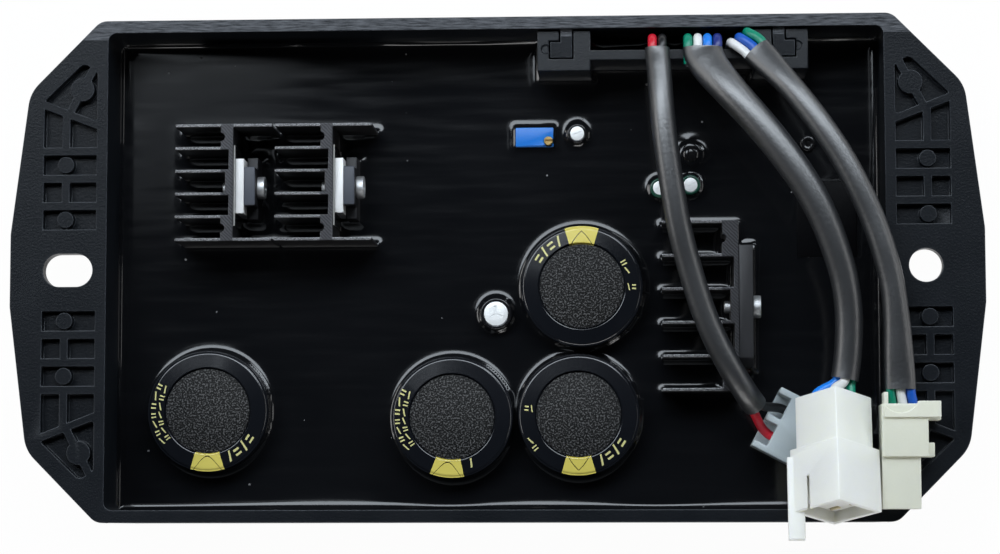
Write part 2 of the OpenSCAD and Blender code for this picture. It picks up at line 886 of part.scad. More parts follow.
module filter_capacitor_sleeve() {
    color("#17181c") small_sleeve(filter_cap_at, filter_cap_d, filter_cap_h, 0, filter_disc_d);
}

module signal_can(i) {
    small_can(signal_cap_at[i], signal_cap_d, signal_cap_h, signal_lead);
}

module signal_sleeve(i, tint) {
    color(tint) small_sleeve(signal_cap_at[i], signal_cap_d, signal_cap_h, signal_lead, signal_disc_d);
}

module ring_capacitor() {
    color("#1b1c20")
    difference() {
        pin_between(ring_cap_at, board_top, ring_cap_top, ring_cap_d);
        pin_between(ring_cap_at, ring_cap_top - ring_cap_dish, ring_cap_top + cut, ring_cap_d / 2);
    }
}

module dipped_capacitor() {
    color("#18191c") {
        pin_between(dipped_at, board_top, potting_top + dipped_above - dipped_d / 2, dipped_d);
        translate([dipped_at.x, dipped_at.y, potting_top + dipped_above - dipped_d / 2])
            sphere(d = dipped_d);
    }
}

module film_capacitor() {
    color("#1a1b1f")
    translate([film_at.x - film_size.x / 2, film_at.y - film_size.y / 2, board_top])
        cube([film_size.x, film_size.y, potting_top + film_above - board_top]);
}

trimmer_bottom = board_top + trimmer_pin;
trimmer_top = trimmer_bottom + trimmer_h;
adjuster_at = trimmer_at + adjuster_offset;

module trimmer_block() {
    translate([trimmer_at.x - trimmer_l / 2, trimmer_at.y - trimmer_w / 2, trimmer_bottom])
        cube([trimmer_l, trimmer_w, trimmer_h]);
    for (i = [-1, 0, 1])
        pin_between(trimmer_at + [i * pin_pitch, 0], board_top, trimmer_bottom, pin_d);
}

module trimmer_case() {
    color("#1f7fe0")
    difference() {
        trimmer_block();
        pin_between(adjuster_at, trimmer_top - adjuster_depth, trimmer_top + cut,
            adjuster_d + 2 * adjuster_clearance);
    }
}

module trimmer_screw() {
    color("#c9a24a")
    difference() {
        pin_between(adjuster_at, trimmer_top - adjuster_depth + adjuster_end_gap,
            trimmer_top + adjuster_proud, adjuster_d);
        translate([adjuster_at.x, adjuster_at.y, trimmer_top + adjuster_proud])
            cube([adjuster_d + 2 * cut, adjuster_slot_w, 2 * adjuster_slot_depth], center = true);
    }
}

function even_sizes(route, r) = [for (p = route) [r, r]];

// The three-wire sleeve is flat over its row of wires at both ends and round between
function flat_sizes(route, r) =
    [for (i = [0:len(route) - 1])
        let (t = min(1, min(i, len(route) - 1 - i) / flat_rings))
        flat_three + t * ([r, r] - flat_three)];

// The four-wire sleeve narrows from its row of wires towards its connector
function tapered_sizes(route, r) =
    [for (i = [0:len(route) - 1])
        let (
            t = min(1, i / flat_rings),
            s = min(1, max(0, i - flat_rings) / taper_rings),
            size = r + s * (narrow_end_r - r)
        )
        flat_four + t * ([size, size] - flat_four)];

module cable_sleeve_1() {
    color("#4a4d52")
    tube(sleeve_route_1, even_sizes(sleeve_route_1, round_sleeve_d / 2), wire_start, sleeve_end_1,
        round_sides);
}

module cable_sleeve_2() {
    color("#4a4d52")
    tube(sleeve_route_2, tapered_sizes(sleeve_route_2, wide_sleeve_d / 2), wire_start, sleeve_end_2,
        round_sides);
}

module cable_sleeve_3() {
    color("#4a4d52")
    tube(sleeve_route_3, flat_sizes(sleeve_route_3, round_sleeve_d / 2),
        sleeve_start_3, sleeve_end_3, round_sides);
}

// A wire from the board up behind the guide and over it, to the start of its sleeve
module wire_root(route, i, count) {
    start = route[0];
    x = start.x + (i - (count - 1) / 2) * wire_pitch;
    bend_r = wire_root_y - start.y;
    translate([x, wire_root_y, board_top]) cylinder(h = start.z - bend_r - board_top, d = wire_d);
    translate([x, start.y, start.z - bend_r]) rotate([90, 0, 90])
        rotate_extrude(angle = 90) translate([bend_r, 0]) circle(d = wire_d);
}

// A wire of the three-wire cable, from the board to its slanted sleeve
module turned_wire_root(i) {
    across = i - 1;
    place = [turned_root_x, wire_root_y] + across * wire_pitch * turned_row;
    foot = [place.x, place.y, board_top];
    bend = [place.x, place.y, turned_root_z];
    start = unit(sleeve_start_3);
    to = sleeve_route_3[0] - across * wire_pitch * ring_side(start);
    points = [bend, bend + turned_rise * unit(turned_lean), to - turned_run * start, to];
    translate(foot) cylinder(h = turned_root_z - board_top, d = wire_d);
    tube(points, even_sizes(points, wire_d / 2), [0, 0, 1], start, wire_sides, [1, 0, 0]);
}

// A wire from the end of its sleeve to the back of its connector
module wire_tail(from, first, to, last) {
    points = [from, from + tail_run * unit(first), to - tail_run * unit(last), to];
    tube(points, even_sizes(points, wire_d / 2), first, last, wire_sides);
}

function last_of(route) = route[len(route) - 1];

// A wire's place in the end of a sleeve, across and up
function in_sleeve(route, end, across, up) =
    last_of(route) + across * ring_side(unit(end)) + up * ring_up(unit(end));

module wire_pair(i, tint) {
    side = i == 0 ? 1 : -1;
    to = [two_way_at.x, two_way_at.y, potting_top + two_way_h / 2] + two_way_notch * two_way_axis
        - side * (two_way_cell + two_way_post) / 2 * two_way_side;
    color(tint) {
        wire_root(sleeve_route_1, i, 2);
        wire_tail(in_sleeve(sleeve_route_1, sleeve_end_1, side * wire_pitch / 2, 0), sleeve_end_1,
            to, two_way_axis);
    }
}

// Cells of the four-way connector, across and up: right, top, left and bottom of the standing square
four_cells = [[-1, 0], [0, 1], [1, 0], [0, -1]];

module wire_four(i, tint) {
    cell = four_cells[i];
    reach = four_way_cell * sqrt(2);
    to = four_way_at + cell[0] * reach * [-1, 0, 0] + cell[1] * reach * four_way_up;
    color(tint) {
        wire_root(sleeve_route_2, i, 4);
        wire_tail(in_sleeve(sleeve_route_2, sleeve_end_2, cell[0] * bundle_reach, cell[1] * bundle_reach),
            sleeve_end_2, to, four_way_axis);
    }
}

// Places of the three wires at their connector, across: middle, right and left
three_places = [0, 1, -1];

module wire_three(i, tint) {
    across = three_places[i];
    to = [three_way_at.x + across * three_way_cell, three_way_at.y - three_way_lip, three_way_z];
    color(tint) {
        turned_wire_root(i);
        wire_tail(in_sleeve(sleeve_route_3, sleeve_end_3, -across * wire_pitch, 0),
            sleeve_end_3, to, sleeve_end_3);
    }
}

module wire_red() { wire_pair(0, "#d02038"); }
module wire_black() { wire_pair(1, "#1a1a1c"); }
module wire_green() { wire_four(0, "#0d9a70"); }
module wire_white() { wire_four(1, "#eceeea"); }
module wire_sky_blue() { wire_four(2, "#2a90ee"); }
module wire_navy() { wire_four(3, "#243a86"); }
module wire_ivory() { wire_three(0, "#eeeee6"); }
module wire_blue() { wire_three(1, "#2468c8"); }
module wire_leaf_green() { wire_three(2, "#169a5a"); }

// Connector frames: the origin is the middle of the wire end, and +X runs to the mouth
module two_way_frame() {
    translate([two_way_at.x, two_way_at.y, potting_top + two_way_h / 2])
        rotate([0, 0, two_way_turn]) children();
}

module four_way_frame(roll) {
    translate(four_way_at) rotate([0, 0, -90]) rotate([0, -four_way_tilt, 0]) rotate([roll, 0, 0]) children();
}

module three_way_frame() {
    translate([three_way_at.x, three_way_at.y, three_way_z]) rotate([0, 0, -90]) children();
}

module connector_1_housing() {
    color("#eef1ee")
    two_way_frame()
        difference() {
            box(0, two_way_length, -two_way_w / 2, two_way_w / 2, -two_way_h / 2, two_way_h / 2);
            for (side = [-1, 1])
                translate([0, side * (two_way_cell + two_way_post) / 2, 0]) {
                    box(-cut, two_way_notch, -two_way_cell / 2, two_way_cell / 2,
                        -two_way_h / 2 + two_way_wall, two_way_h / 2 + cut);
                    box(two_way_length - two_way_mouth, two_way_length + cut,
                        -two_way_cell / 2, two_way_cell / 2,
                        -two_way_h / 2 + two_way_wall, two_way_h / 2 - two_way_wall);
                }
        }
}

module connector_1_terminals() {
    color("#d2b878")
    two_way_frame()
        for (side = [-1, 1])
            translate([two_way_length - two_way_mouth, side * (two_way_cell + two_way_post) / 2, 0])
                terminal(two_way_mouth - terminal_gap);
}

module terminal(length) {
    box(0, length, -terminal_w / 2, terminal_w / 2, -terminal_t / 2, terminal_t / 2);
}

module connector_2_housing() {
    inner = four_way_front / 2 - four_way_wall;
    color("#eef0ea") {
        four_way_frame(45)
            difference() {
                union() {
                    box(0, four_way_step + cut, -four_way_rear / 2, four_way_rear / 2,
                        -four_way_rear / 2, four_way_rear / 2);
                    box(four_way_step, four_way_length, -four_way_front / 2, four_way_front / 2,
                        -four_way_front / 2, four_way_front / 2);
                }
                box(four_way_length - four_way_mouth, four_way_length + cut, -inner, inner, -inner, inner);
            }
        four_way_frame(0)
            box(latch_start, latch_end, -four_way_half - latch_out, latch_w - four_way_half - latch_out,
                -latch_t / 2, latch_t / 2);
    }
}

module connector_2_terminals() {
    color("#d2b878")
    four_way_frame(45)
        for (y = [-1, 1], z = [-1, 1])
            translate([four_way_length - four_way_mouth, y * four_way_cell, z * four_way_cell])
                terminal(four_way_mouth - terminal_gap);
}

module connector_3_housing() {
    color("#eef0ea")
    three_way_frame()
        difference() {
            union() {
                box(0, three_way_step, -three_way_w / 2, three_way_w / 2, -three_way_h / 2, three_way_h / 2);
                box(three_way_step - cut, three_way_length,
                    -three_way_w / 2, three_way_front_w - three_way_w / 2,
                    -three_way_h / 2, three_way_h / 2 - three_way_wall);
                for (i = [0, 1])
                    box(lug_at[i], lug_at[i] + lug_l[i], three_way_w / 2 - cut, three_way_w / 2 + lug_out[i],
                        -three_way_h / 2, lug_h - three_way_h / 2);
            }
            box(-cut, three_way_lip, three_way_wall - three_way_w / 2, three_way_w / 2 - three_way_wall,
                three_way_wall - three_way_h / 2, three_way_h / 2 - three_way_wall);
            box(three_way_length - three_way_mouth, three_way_length + cut,
                three_way_wall - three_way_w / 2, three_way_front_w - three_way_w / 2 - three_way_wall,
                three_way_wall - three_way_h / 2, three_way_h / 2 - 2 * three_way_wall);
        }
}

module connector_3_terminals() {
    middle = three_way_front_w / 2 - three_way_w / 2;
    color("#d2b878")
    three_way_frame()
        translate([three_way_length - three_way_mouth, middle, 0])
            for (z = [-1, 1])
                translate([0, 0, z * terminal_w / 2 - three_way_wall / 2])
                    terminal(three_way_mouth - terminal_gap);
}

housing();
potting_compound();
circuit_board();
cable_guide();
heat_sink_left();
heat_sink_middle();
heat_sink_right();
transistor_left_case();
transistor_left_leadframe();
transistor_middle_case();
transistor_middle_leadframe();
insulating_sheet_left();
insulating_sheet_middle();
power_screws();
rectifier_case();
rectifier_leads();
main_can(0);  // capacitor_1_can
main_sleeve(0);  // capacitor_1_sleeve
main_disc(0);  // capacitor_1_disc
main_can(1);  // capacitor_2_can
main_sleeve(1);  // capacitor_2_sleeve
main_disc(1);  // capacitor_2_disc
main_can(2);  // capacitor_3_can
main_sleeve(2);  // capacitor_3_sleeve
main_disc(2);  // capacitor_3_disc
main_can(3);  // capacitor_4_can
main_sleeve(3);  // capacitor_4_sleeve
main_disc(3);  // capacitor_4_disc
filter_capacitor_can();
filter_capacitor_sleeve();
signal_can(0);  // signal_capacitor_1_can
signal_sleeve(0, "#17181c");  // signal_capacitor_1_sleeve
signal_can(1);  // signal_capacitor_2_can
signal_sleeve(1, "#1f4a38");  // signal_capacitor_2_sleeve
signal_can(2);  // signal_capacitor_3_can
signal_sleeve(2, "#1f4a38");  // signal_capacitor_3_sleeve
ring_capacitor();
dipped_capacitor();
film_capacitor();
trimmer_case();
trimmer_screw();
cable_sleeve_1();
cable_sleeve_2();
cable_sleeve_3();
wire_red();
wire_black();
wire_green();
wire_white();
wire_sky_blue();
wire_navy();
wire_ivory();
wire_blue();
wire_leaf_green();
connector_1_housing();
connector_1_terminals();
connector_2_housing();
connector_2_terminals();
connector_3_housing();
connector_3_terminals();
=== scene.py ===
# %% [markdown]
# Potted voltage regulator, dressed for a studio picture.
# The imported solids come in first as a fixed frame: every piece made here sits on one of them, in metres,
# with X along the fixing ears, Y across the tray and Z up to its open side.

# %% Load the frame
import math
import bmesh
import bpy
import numpy as np
from mathutils import Matrix, Vector


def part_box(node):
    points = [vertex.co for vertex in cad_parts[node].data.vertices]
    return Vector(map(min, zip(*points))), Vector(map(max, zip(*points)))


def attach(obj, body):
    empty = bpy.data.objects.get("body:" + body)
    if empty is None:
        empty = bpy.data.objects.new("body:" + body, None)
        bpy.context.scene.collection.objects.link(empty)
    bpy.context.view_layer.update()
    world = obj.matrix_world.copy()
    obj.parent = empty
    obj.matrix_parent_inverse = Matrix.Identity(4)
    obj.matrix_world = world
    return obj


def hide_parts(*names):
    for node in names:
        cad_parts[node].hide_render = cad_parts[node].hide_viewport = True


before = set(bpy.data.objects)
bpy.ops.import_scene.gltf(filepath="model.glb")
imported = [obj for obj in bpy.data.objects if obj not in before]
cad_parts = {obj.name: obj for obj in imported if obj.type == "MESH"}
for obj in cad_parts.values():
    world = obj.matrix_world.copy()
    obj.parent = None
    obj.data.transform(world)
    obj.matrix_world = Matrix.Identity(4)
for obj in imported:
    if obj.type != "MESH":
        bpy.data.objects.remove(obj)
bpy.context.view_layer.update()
MM = 0.001
print("solids in the frame:", len(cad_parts))

# %% [markdown]
# The photograph was taken from nearly straight above with a long lens, a little towards the lower right,
# so the walls lean outwards by a few pixels. The camera repeats that place, turn and lens.

# %% Camera
camera_data = bpy.data.cameras.new("product_camera")
camera_data.sensor_width = 36
camera_data.lens = 100.63
camera_data.clip_end = 20
camera = bpy.data.objects.new("product_camera", camera_data)
camera.location = (0.037843, -0.064085, 0.716374)
camera.rotation_euler = [math.radians(a) for a in (5.18976, 3.06320, -0.07878)]
bpy.context.collection.objects.link(camera)
bpy.context.scene.camera = camera
bpy.context.scene.view_settings.view_transform = "Standard"
print("camera lens, mm:", camera_data.lens)

# %% [markdown]
# Every operator acts on all that is selected, so one small helper clears the selection and picks one
# object. A second one picks faces by their place and direction while the object is in edit mode.

# %% Helpers for selecting
def only(obj):
    """Makes obj the one selected and active object."""
    bpy.ops.object.select_all(action="DESELECT")
    obj.select_set(True)
    bpy.context.view_layer.objects.active = obj
    return obj


def edit(obj):
    """Opens obj in edit mode with nothing selected, in face select mode."""
    only(obj)
    bpy.ops.object.mode_set(mode="EDIT")
    bpy.ops.mesh.select_mode(type="FACE")
    bpy.ops.mesh.select_all(action="DESELECT")


def pick_faces(obj, test):
    """Selects the faces whose middle and normal pass the test, and only those."""
    bpy.ops.mesh.select_all(action="DESELECT")
    mesh = bmesh.from_edit_mesh(obj.data)
    for face in mesh.faces:
        if test(face.calc_center_median(), face.normal):
            face.select_set(True)
    bmesh.update_edit_mesh(obj.data)


def done(obj):
    """Leaves edit mode."""
    bpy.ops.object.mode_set(mode="OBJECT")
    return obj


def smooth(obj, angle):
    """Smooth shading up to an angle between faces."""
    only(obj)
    bpy.ops.object.shade_smooth_by_angle(angle=math.radians(angle))
    return obj


def at_origin(obj):
    """Moves the object's place and turn into its mesh."""
    only(obj)
    bpy.ops.object.transform_apply(location=True, rotation=True, scale=True)
    return obj


print("helpers ready")

# %% [markdown]
# The finish of each piece is a material made of nodes. Effects that can serve several finishes are node
# groups: fine grain for moulded and sandblasted skins, specks of dust, and streaks. One more gives the
# place round a standing axis, which lets marks be drawn on a round lid. Each group reads Object
# coordinates, so it stays with its piece.

# %% Shared node groups
def start_group(name, inputs, outputs):
    """A shader node group with value sockets: inputs with defaults, outputs by name."""
    tree = bpy.data.node_groups.new(name, "ShaderNodeTree")
    for label, default in inputs:
        socket = tree.interface.new_socket(label, in_out="INPUT", socket_type="NodeSocketFloat")
        socket.default_value = default
    for label in outputs:
        tree.interface.new_socket(label, in_out="OUTPUT", socket_type="NodeSocketFloat")
    return tree, tree.nodes.new("NodeGroupInput"), tree.nodes.new("NodeGroupOutput")


def math_node(tree, operation, a, b=None, c=None, clamp=False):
    """A Math node whose inputs are sockets or plain numbers; returns its output."""
    node = tree.nodes.new("ShaderNodeMath")
    node.operation = operation
    node.use_clamp = clamp
    for socket, value in zip(node.inputs, (a, b, c)):
        if value is None:
            continue
        if isinstance(value, (int, float)):
            socket.default_value = value
        else:
            tree.links.new(value, socket)
    return node.outputs[0]


def make_grain_group():
    """Fine grain: a height for bump and a slow shade, both about 0 to 1."""
    tree, source, sink = start_group("fine grain", [("Scale", 3000.0)], ["Height", "Shade"])
    place = tree.nodes.new("ShaderNodeTexCoord")
    fine = tree.nodes.new("ShaderNodeTexNoise")
    fine.inputs["Detail"].default_value = 3
    slow = tree.nodes.new("ShaderNodeTexNoise")
    slow.inputs["Detail"].default_value = 4
    tree.links.new(place.outputs["Object"], fine.inputs["Vector"])
    tree.links.new(place.outputs["Object"], slow.inputs["Vector"])
    tree.links.new(source.outputs["Scale"], fine.inputs["Scale"])
    tree.links.new(math_node(tree, "MULTIPLY", source.outputs["Scale"], 0.04), slow.inputs["Scale"])
    tree.links.new(fine.outputs[0], sink.inputs["Height"])
    tree.links.new(slow.outputs[0], sink.inputs["Shade"])
    return tree


def make_speck_group():
    """Dust: small round specks at random places, 1 on a speck and 0 elsewhere."""
    tree, source, sink = start_group("dust specks", [("Scale", 260.0), ("Size", 0.06)], ["Mask"])
    place = tree.nodes.new("ShaderNodeTexCoord")
    cells = tree.nodes.new("ShaderNodeTexVoronoi")
    tree.links.new(place.outputs["Object"], cells.inputs["Vector"])
    tree.links.new(source.outputs["Scale"], cells.inputs["Scale"])
    pick = tree.nodes.new("ShaderNodeSeparateColor")
    tree.links.new(cells.outputs["Color"], pick.inputs[0])
    chosen = math_node(tree, "GREATER_THAN", pick.outputs[0], 0.62)
    width = math_node(tree, "MULTIPLY", source.outputs["Size"], pick.outputs[1])
    inside = math_node(tree, "LESS_THAN", cells.outputs["Distance"], width)
    tree.links.new(math_node(tree, "MULTIPLY", chosen, inside), sink.inputs["Mask"])
    return tree


def make_streak_group():
    """Streaks: a noise from 0 to 1 with its own number of waves a metre along each axis."""
    axes = ("Along X", "Along Y", "Along Z")
    inputs = [(axis, 100.0) for axis in axes] + [("Detail", 4.0)]
    tree, source, sink = start_group("streaks", inputs, ["Mask"])
    place = tree.nodes.new("ShaderNodeTexCoord")
    fineness = tree.nodes.new("ShaderNodeCombineXYZ")
    for socket, axis in zip(fineness.inputs, axes):
        tree.links.new(source.outputs[axis], socket)
    stretch = tree.nodes.new("ShaderNodeVectorMath")
    stretch.operation = "MULTIPLY"
    tree.links.new(place.outputs["Object"], stretch.inputs[0])
    tree.links.new(fineness.outputs[0], stretch.inputs[1])
    noise = tree.nodes.new("ShaderNodeTexNoise")
    noise.inputs["Scale"].default_value = 1
    tree.links.new(stretch.outputs[0], noise.inputs["Vector"])
    tree.links.new(source.outputs["Detail"], noise.inputs["Detail"])
    tree.links.new(noise.outputs[0], sink.inputs["Mask"])
    return tree


def make_axis_group():
    """Place round a standing axis: the angle from +X in degrees, radius and height in millimetres."""
    tree, source, sink = start_group("round an axis", [("Centre X", 0.0), ("Centre Y", 0.0)],
                                     ["Angle", "Radius", "Height"])
    place = tree.nodes.new("ShaderNodeTexCoord")
    split = tree.nodes.new("ShaderNodeSeparateXYZ")
    tree.links.new(place.outputs["Object"], split.inputs[0])
    across = math_node(tree, "SUBTRACT", math_node(tree, "MULTIPLY", split.outputs[0], 1000.0),
                       source.outputs["Centre X"])
    along = math_node(tree, "SUBTRACT", math_node(tree, "MULTIPLY", split.outputs[1], 1000.0),
                      source.outputs["Centre Y"])
    turn = math_node(tree, "MULTIPLY", math_node(tree, "ARCTAN2", along, across), 180 / math.pi)
    squares = math_node(tree, "ADD", math_node(tree, "MULTIPLY", across, across),
                        math_node(tree, "MULTIPLY", along, along))
    tree.links.new(turn, sink.inputs["Angle"])
    tree.links.new(math_node(tree, "SQRT", squares), sink.inputs["Radius"])
    tree.links.new(math_node(tree, "MULTIPLY", split.outputs[2], 1000.0), sink.inputs["Height"])
    return tree


grain_group = make_grain_group()
speck_group = make_speck_group()
streak_group = make_streak_group()
axis_group = make_axis_group()
print("node groups:", [g.name for g in (grain_group, speck_group, streak_group, axis_group)])

# %% [markdown]
# Most finishes follow one recipe: a colour that drifts a little from place to place, a roughness that
# drifts with it, and a fine bump. The values differ: coarse and matt for the tray, smooth for the wires.

# %% Recipe for a plain finish
def start_material(name):
    material = bpy.data.materials.new(name)
    material.use_nodes = True
    return material, material.node_tree, material.node_tree.nodes["Principled BSDF"]


def place_group(tree, group, **values):
    node = tree.nodes.new("ShaderNodeGroup")
    node.node_tree = group
    for label, value in values.items():
        node.inputs[label.replace("_", " ")].default_value = value
    return node


def blend_colour(tree, mask, low, high):
    """Mixes two colours by a mask; a colour may be a tuple or a socket."""
    mix = tree.nodes.new("ShaderNodeMix")
    mix.data_type = "RGBA"
    tree.links.new(mask, mix.inputs[0])
    for socket, colour in ((mix.inputs[6], low), (mix.inputs[7], high)):
        if isinstance(colour, tuple):
            socket.default_value = (*colour, 1)
        else:
            tree.links.new(colour, socket)
    return mix.outputs[2]


def spread(tree, value, low, high):
    """Maps a value from 0..1 to low..high."""
    return math_node(tree, "ADD", math_node(tree, "MULTIPLY", value, high - low), low)


def between(tree, value, low, high):
    """A mask that is 1 where the value lies between two numbers."""
    return math_node(tree, "MULTIPLY", math_node(tree, "GREATER_THAN", value, low),
                     math_node(tree, "LESS_THAN", value, high))


def add_bump(tree, shader, height, distance, strength=1.0):
    bump = tree.nodes.new("ShaderNodeBump")
    bump.inputs["Distance"].default_value = distance
    bump.inputs["Strength"].default_value = strength
    tree.links.new(height, bump.inputs["Height"])
    tree.links.new(bump.outputs[0], shader.inputs["Normal"])


def finish_of(name, dark, light, rough=(0.4, 0.55), scale=3000.0, depth=0.00002, metal=0.0, specular=0.5,
              index=1.5, soft_light=0.0):
    """A finish with a drifting colour and roughness and a fine grain."""
    material, tree, shader = start_material(name)
    grain = place_group(tree, grain_group, Scale=scale)
    shade = math_node(tree, "ADD", math_node(tree, "MULTIPLY", grain.outputs["Shade"], 0.8),
                      math_node(tree, "MULTIPLY", grain.outputs["Height"], 0.2))
    tree.links.new(blend_colour(tree, shade, dark, light), shader.inputs["Base Color"])
    tree.links.new(spread(tree, grain.outputs["Shade"], *rough), shader.inputs["Roughness"])
    add_bump(tree, shader, grain.outputs["Height"], depth)
    shader.inputs["Metallic"].default_value = metal
    shader.inputs["Specular IOR Level"].default_value = specular
    shader.inputs["IOR"].default_value = index
    shader.inputs["Subsurface Weight"].default_value = soft_light
    shader.inputs["Subsurface Radius"].default_value = (0.003, 0.003, 0.0025)
    shader.inputs["Subsurface Scale"].default_value = 1.0
    return material


print("recipe ready")

# %% [markdown]
# The tray gets painted highlights: a pale line along every edge, and a paler sheen in lengthwise streaks on
# the top of its back rim. Both are laid over the plain finish with a mask. An edge is found by comparing
# the true normal with one that the Bevel node rounds off, and the sheen is streaks that are much longer
# than wide.

# %% Painted highlights on the tray
EDGE_GAIN = 4.0
SHEEN_START, SHEEN_GAIN = 0.3, 3.0
FACES_UP = 0.9


def paint_over(material, mask, colour):
    """Lays a colour over a finish where the mask is 1."""
    tree = material.node_tree
    base = tree.nodes["Principled BSDF"].inputs["Base Color"]
    tree.links.new(blend_colour(tree, mask, base.links[0].from_socket, colour), base)


def paint_edge_highlights(material, width, colour):
    """Paints a pale highlight along every edge: there a rounded normal leaves the true one."""
    tree = material.node_tree
    rounded_normal = tree.nodes.new("ShaderNodeBevel")
    rounded_normal.inputs["Radius"].default_value = width
    true_normal = tree.nodes.new("ShaderNodeNewGeometry")
    match = tree.nodes.new("ShaderNodeVectorMath")
    match.operation = "DOT_PRODUCT"
    tree.links.new(rounded_normal.outputs[0], match.inputs[0])
    tree.links.new(true_normal.outputs["True Normal"], match.inputs[1])
    turned = math_node(tree, "SUBTRACT", 1.0, match.outputs["Value"])
    paint_over(material, math_node(tree, "MULTIPLY", turned, EDGE_GAIN, clamp=True), colour)


def paint_back_rim_sheen(material, start, colour):
    """Paints a paler sheen on the top of the rim where Y is greater than start, in streaks along the rim.
    """
    tree = material.node_tree
    place = tree.nodes.new("ShaderNodeTexCoord")
    facing = tree.nodes.new("ShaderNodeNewGeometry")
    split_place = tree.nodes.new("ShaderNodeSeparateXYZ")
    split_normal = tree.nodes.new("ShaderNodeSeparateXYZ")
    tree.links.new(place.outputs["Object"], split_place.inputs[0])
    tree.links.new(facing.outputs["True Normal"], split_normal.inputs[0])
    streaks = place_group(tree, streak_group, Along_X=260.0, Along_Y=2600.0, Along_Z=0.0, Detail=5.0)
    on_rim = math_node(tree, "MULTIPLY", math_node(tree, "GREATER_THAN", split_place.outputs[1], start),
                       math_node(tree, "GREATER_THAN", split_normal.outputs[2], FACES_UP))
    sheen_streaks = math_node(tree, "SUBTRACT", streaks.outputs["Mask"], SHEEN_START)
    sheen_streaks = math_node(tree, "MULTIPLY", sheen_streaks, SHEEN_GAIN, clamp=True)
    paint_over(material, math_node(tree, "MULTIPLY", on_rim, sheen_streaks), colour)


tray_plastic = finish_of("tray plastic", (0.004, 0.0053, 0.0072), (0.0085, 0.0105, 0.0138),
                         rough=(0.3, 0.44), scale=1900.0, depth=0.00006, specular=0.17)
# Painted highlight: a pale line along every edge of the tray.
paint_edge_highlights(tray_plastic, 0.0003, (0.11, 0.12, 0.135))
# Painted sheen: the top of the back rim is made paler, in lengthwise streaks.
paint_back_rim_sheen(tray_plastic, 0.0572, (0.1, 0.105, 0.116))
print("tray finish:", tray_plastic.name)

# %% [markdown]
# The other plain finishes differ only in the recipe's values. A metal part gets some metallic weight, and
# the milky nylon of the connectors lets light in under its surface.

# %% Plain finishes
guide_plastic = finish_of("guide plastic", (0.0062, 0.0076, 0.0098), (0.012, 0.0143, 0.0178),
                          rough=(0.34, 0.48), scale=2400.0, depth=0.00004, specular=0.3)
board_laminate = finish_of("board laminate", (0.02, 0.1, 0.04), (0.04, 0.17, 0.07))
black_moulding = finish_of("black moulding", (0.012, 0.012, 0.014), (0.022, 0.022, 0.025),
                           rough=(0.42, 0.55), scale=5000.0)
bright_tin = finish_of("bright tin", (0.78, 0.78, 0.77), (0.92, 0.92, 0.91), rough=(0.42, 0.55),
                       scale=5000.0, metal=0.15)
screw_zinc = finish_of("screw zinc", (0.5, 0.51, 0.52), (0.8, 0.81, 0.82), rough=(0.36, 0.5), scale=5200.0,
                       depth=0.00008, metal=0.85)
can_metal = finish_of("can metal", (0.8, 0.82, 0.82), (0.95, 0.96, 0.96), rough=(0.35, 0.5), metal=0.2)
dipped_skin = finish_of("dipped skin", (0.006, 0.006, 0.007), (0.012, 0.012, 0.013), rough=(0.1, 0.18),
                        scale=900.0, depth=0.00006)
box_skin = finish_of("box skin", (0.002, 0.002, 0.0026), (0.004, 0.004, 0.005), rough=(0.36, 0.46),
                     scale=2600.0, depth=0.00003, specular=0.06)
terminal_metal = finish_of("terminal metal", (0.5, 0.42, 0.26), (0.68, 0.6, 0.42), rough=(0.25, 0.4),
                           metal=1.0)
adjuster_brass = finish_of("adjuster brass", (0.55, 0.36, 0.13), (0.75, 0.53, 0.22), rough=(0.22, 0.35),
                           metal=1.0)
clear_nylon = finish_of("clear nylon", (0.38, 0.435, 0.455), (0.49, 0.55, 0.57), rough=(0.32, 0.42),
                        scale=1800.0, soft_light=0.3)
white_nylon = finish_of("white nylon", (0.84, 0.84, 0.77), (0.92, 0.915, 0.85), rough=(0.36, 0.46),
                        scale=1800.0, soft_light=0.6)
cream_nylon = finish_of("cream nylon", (0.7, 0.7, 0.585), (0.78, 0.78, 0.66), rough=(0.36, 0.46),
                        scale=1800.0, soft_light=0.25)
print("plain finishes made")

# %% [markdown]
# The three cables come next, because their room matters most. Each real cable is a soft plastic sleeve over
# two, three or four wires. The sleeve is a tube swept along its route, with a hollow end where the wires
# go in. The route's points are the ones of the solid model, joined by a smooth curve.

# %% Routes
GUIDE_X = 44.0
RIM = 38.0
# Half the inside of the tray along X and Y, in millimetres
HALF_X, HALF_Y = 95.4, 58.9


def routed(points):
    """Route points given from the middle of the guide and from the rim, in millimetres."""
    return [Vector((GUIDE_X + x, y, RIM + z)) for x, y, z in points]


route_1 = routed([
    (-3.7, 53.5, 2), (-3.3, 47.5, 3.8), (-2.8, 40, 5.8), (-2, 30.8, 6.6), (-0.5, 19.6, 6.2),
    (1.4, 8.7, 4.8), (3.9, -1, 3), (6.8, -10.3, 1.4), (9.8, -17.6, 0.2), (13.6, -24.8, -1.2),
    (17.2, -30.5, -3.6), (19.6, -33.6, -6.6),
])
route_2 = routed([
    (7.4, 53.5, 2), (8.8, 49, 3.6), (13.6, 42.4, 6.4), (20.3, 34.4, 8.2), (26.4, 26.5, 9),
    (31.6, 18.9, 9), (35.5, 11.6, 8.5), (38.5, 4, 7.5), (40.7, -3.4, 6.2), (41.8, -11.1, 4.8),
    (41.8, -19, 3.6), (40.8, -27.8, 2.7),
])
route_3 = routed([
    (20.4, 52.6, 2.6), (23.4, 49, 4.4), (26.7, 44.9, 6.4), (30.6, 39.9, 8.2), (35.4, 33.1, 9.5),
    (40, 25.9, 10), (43.9, 18.5, 10), (47.3, 10.9, 9.4), (50, 3.1, 8.8), (52, -4.8, 7.8),
    (53, -12.7, 7), (53.5, -21.4, 6.3), (53.9, -30.4, 5.5),
])
start_out = Vector((0, -1, 0))
start_3 = Vector((0.62, -0.72, 0.3)).normalized()
end_1 = Vector((0.5, -0.62, -0.6)).normalized()
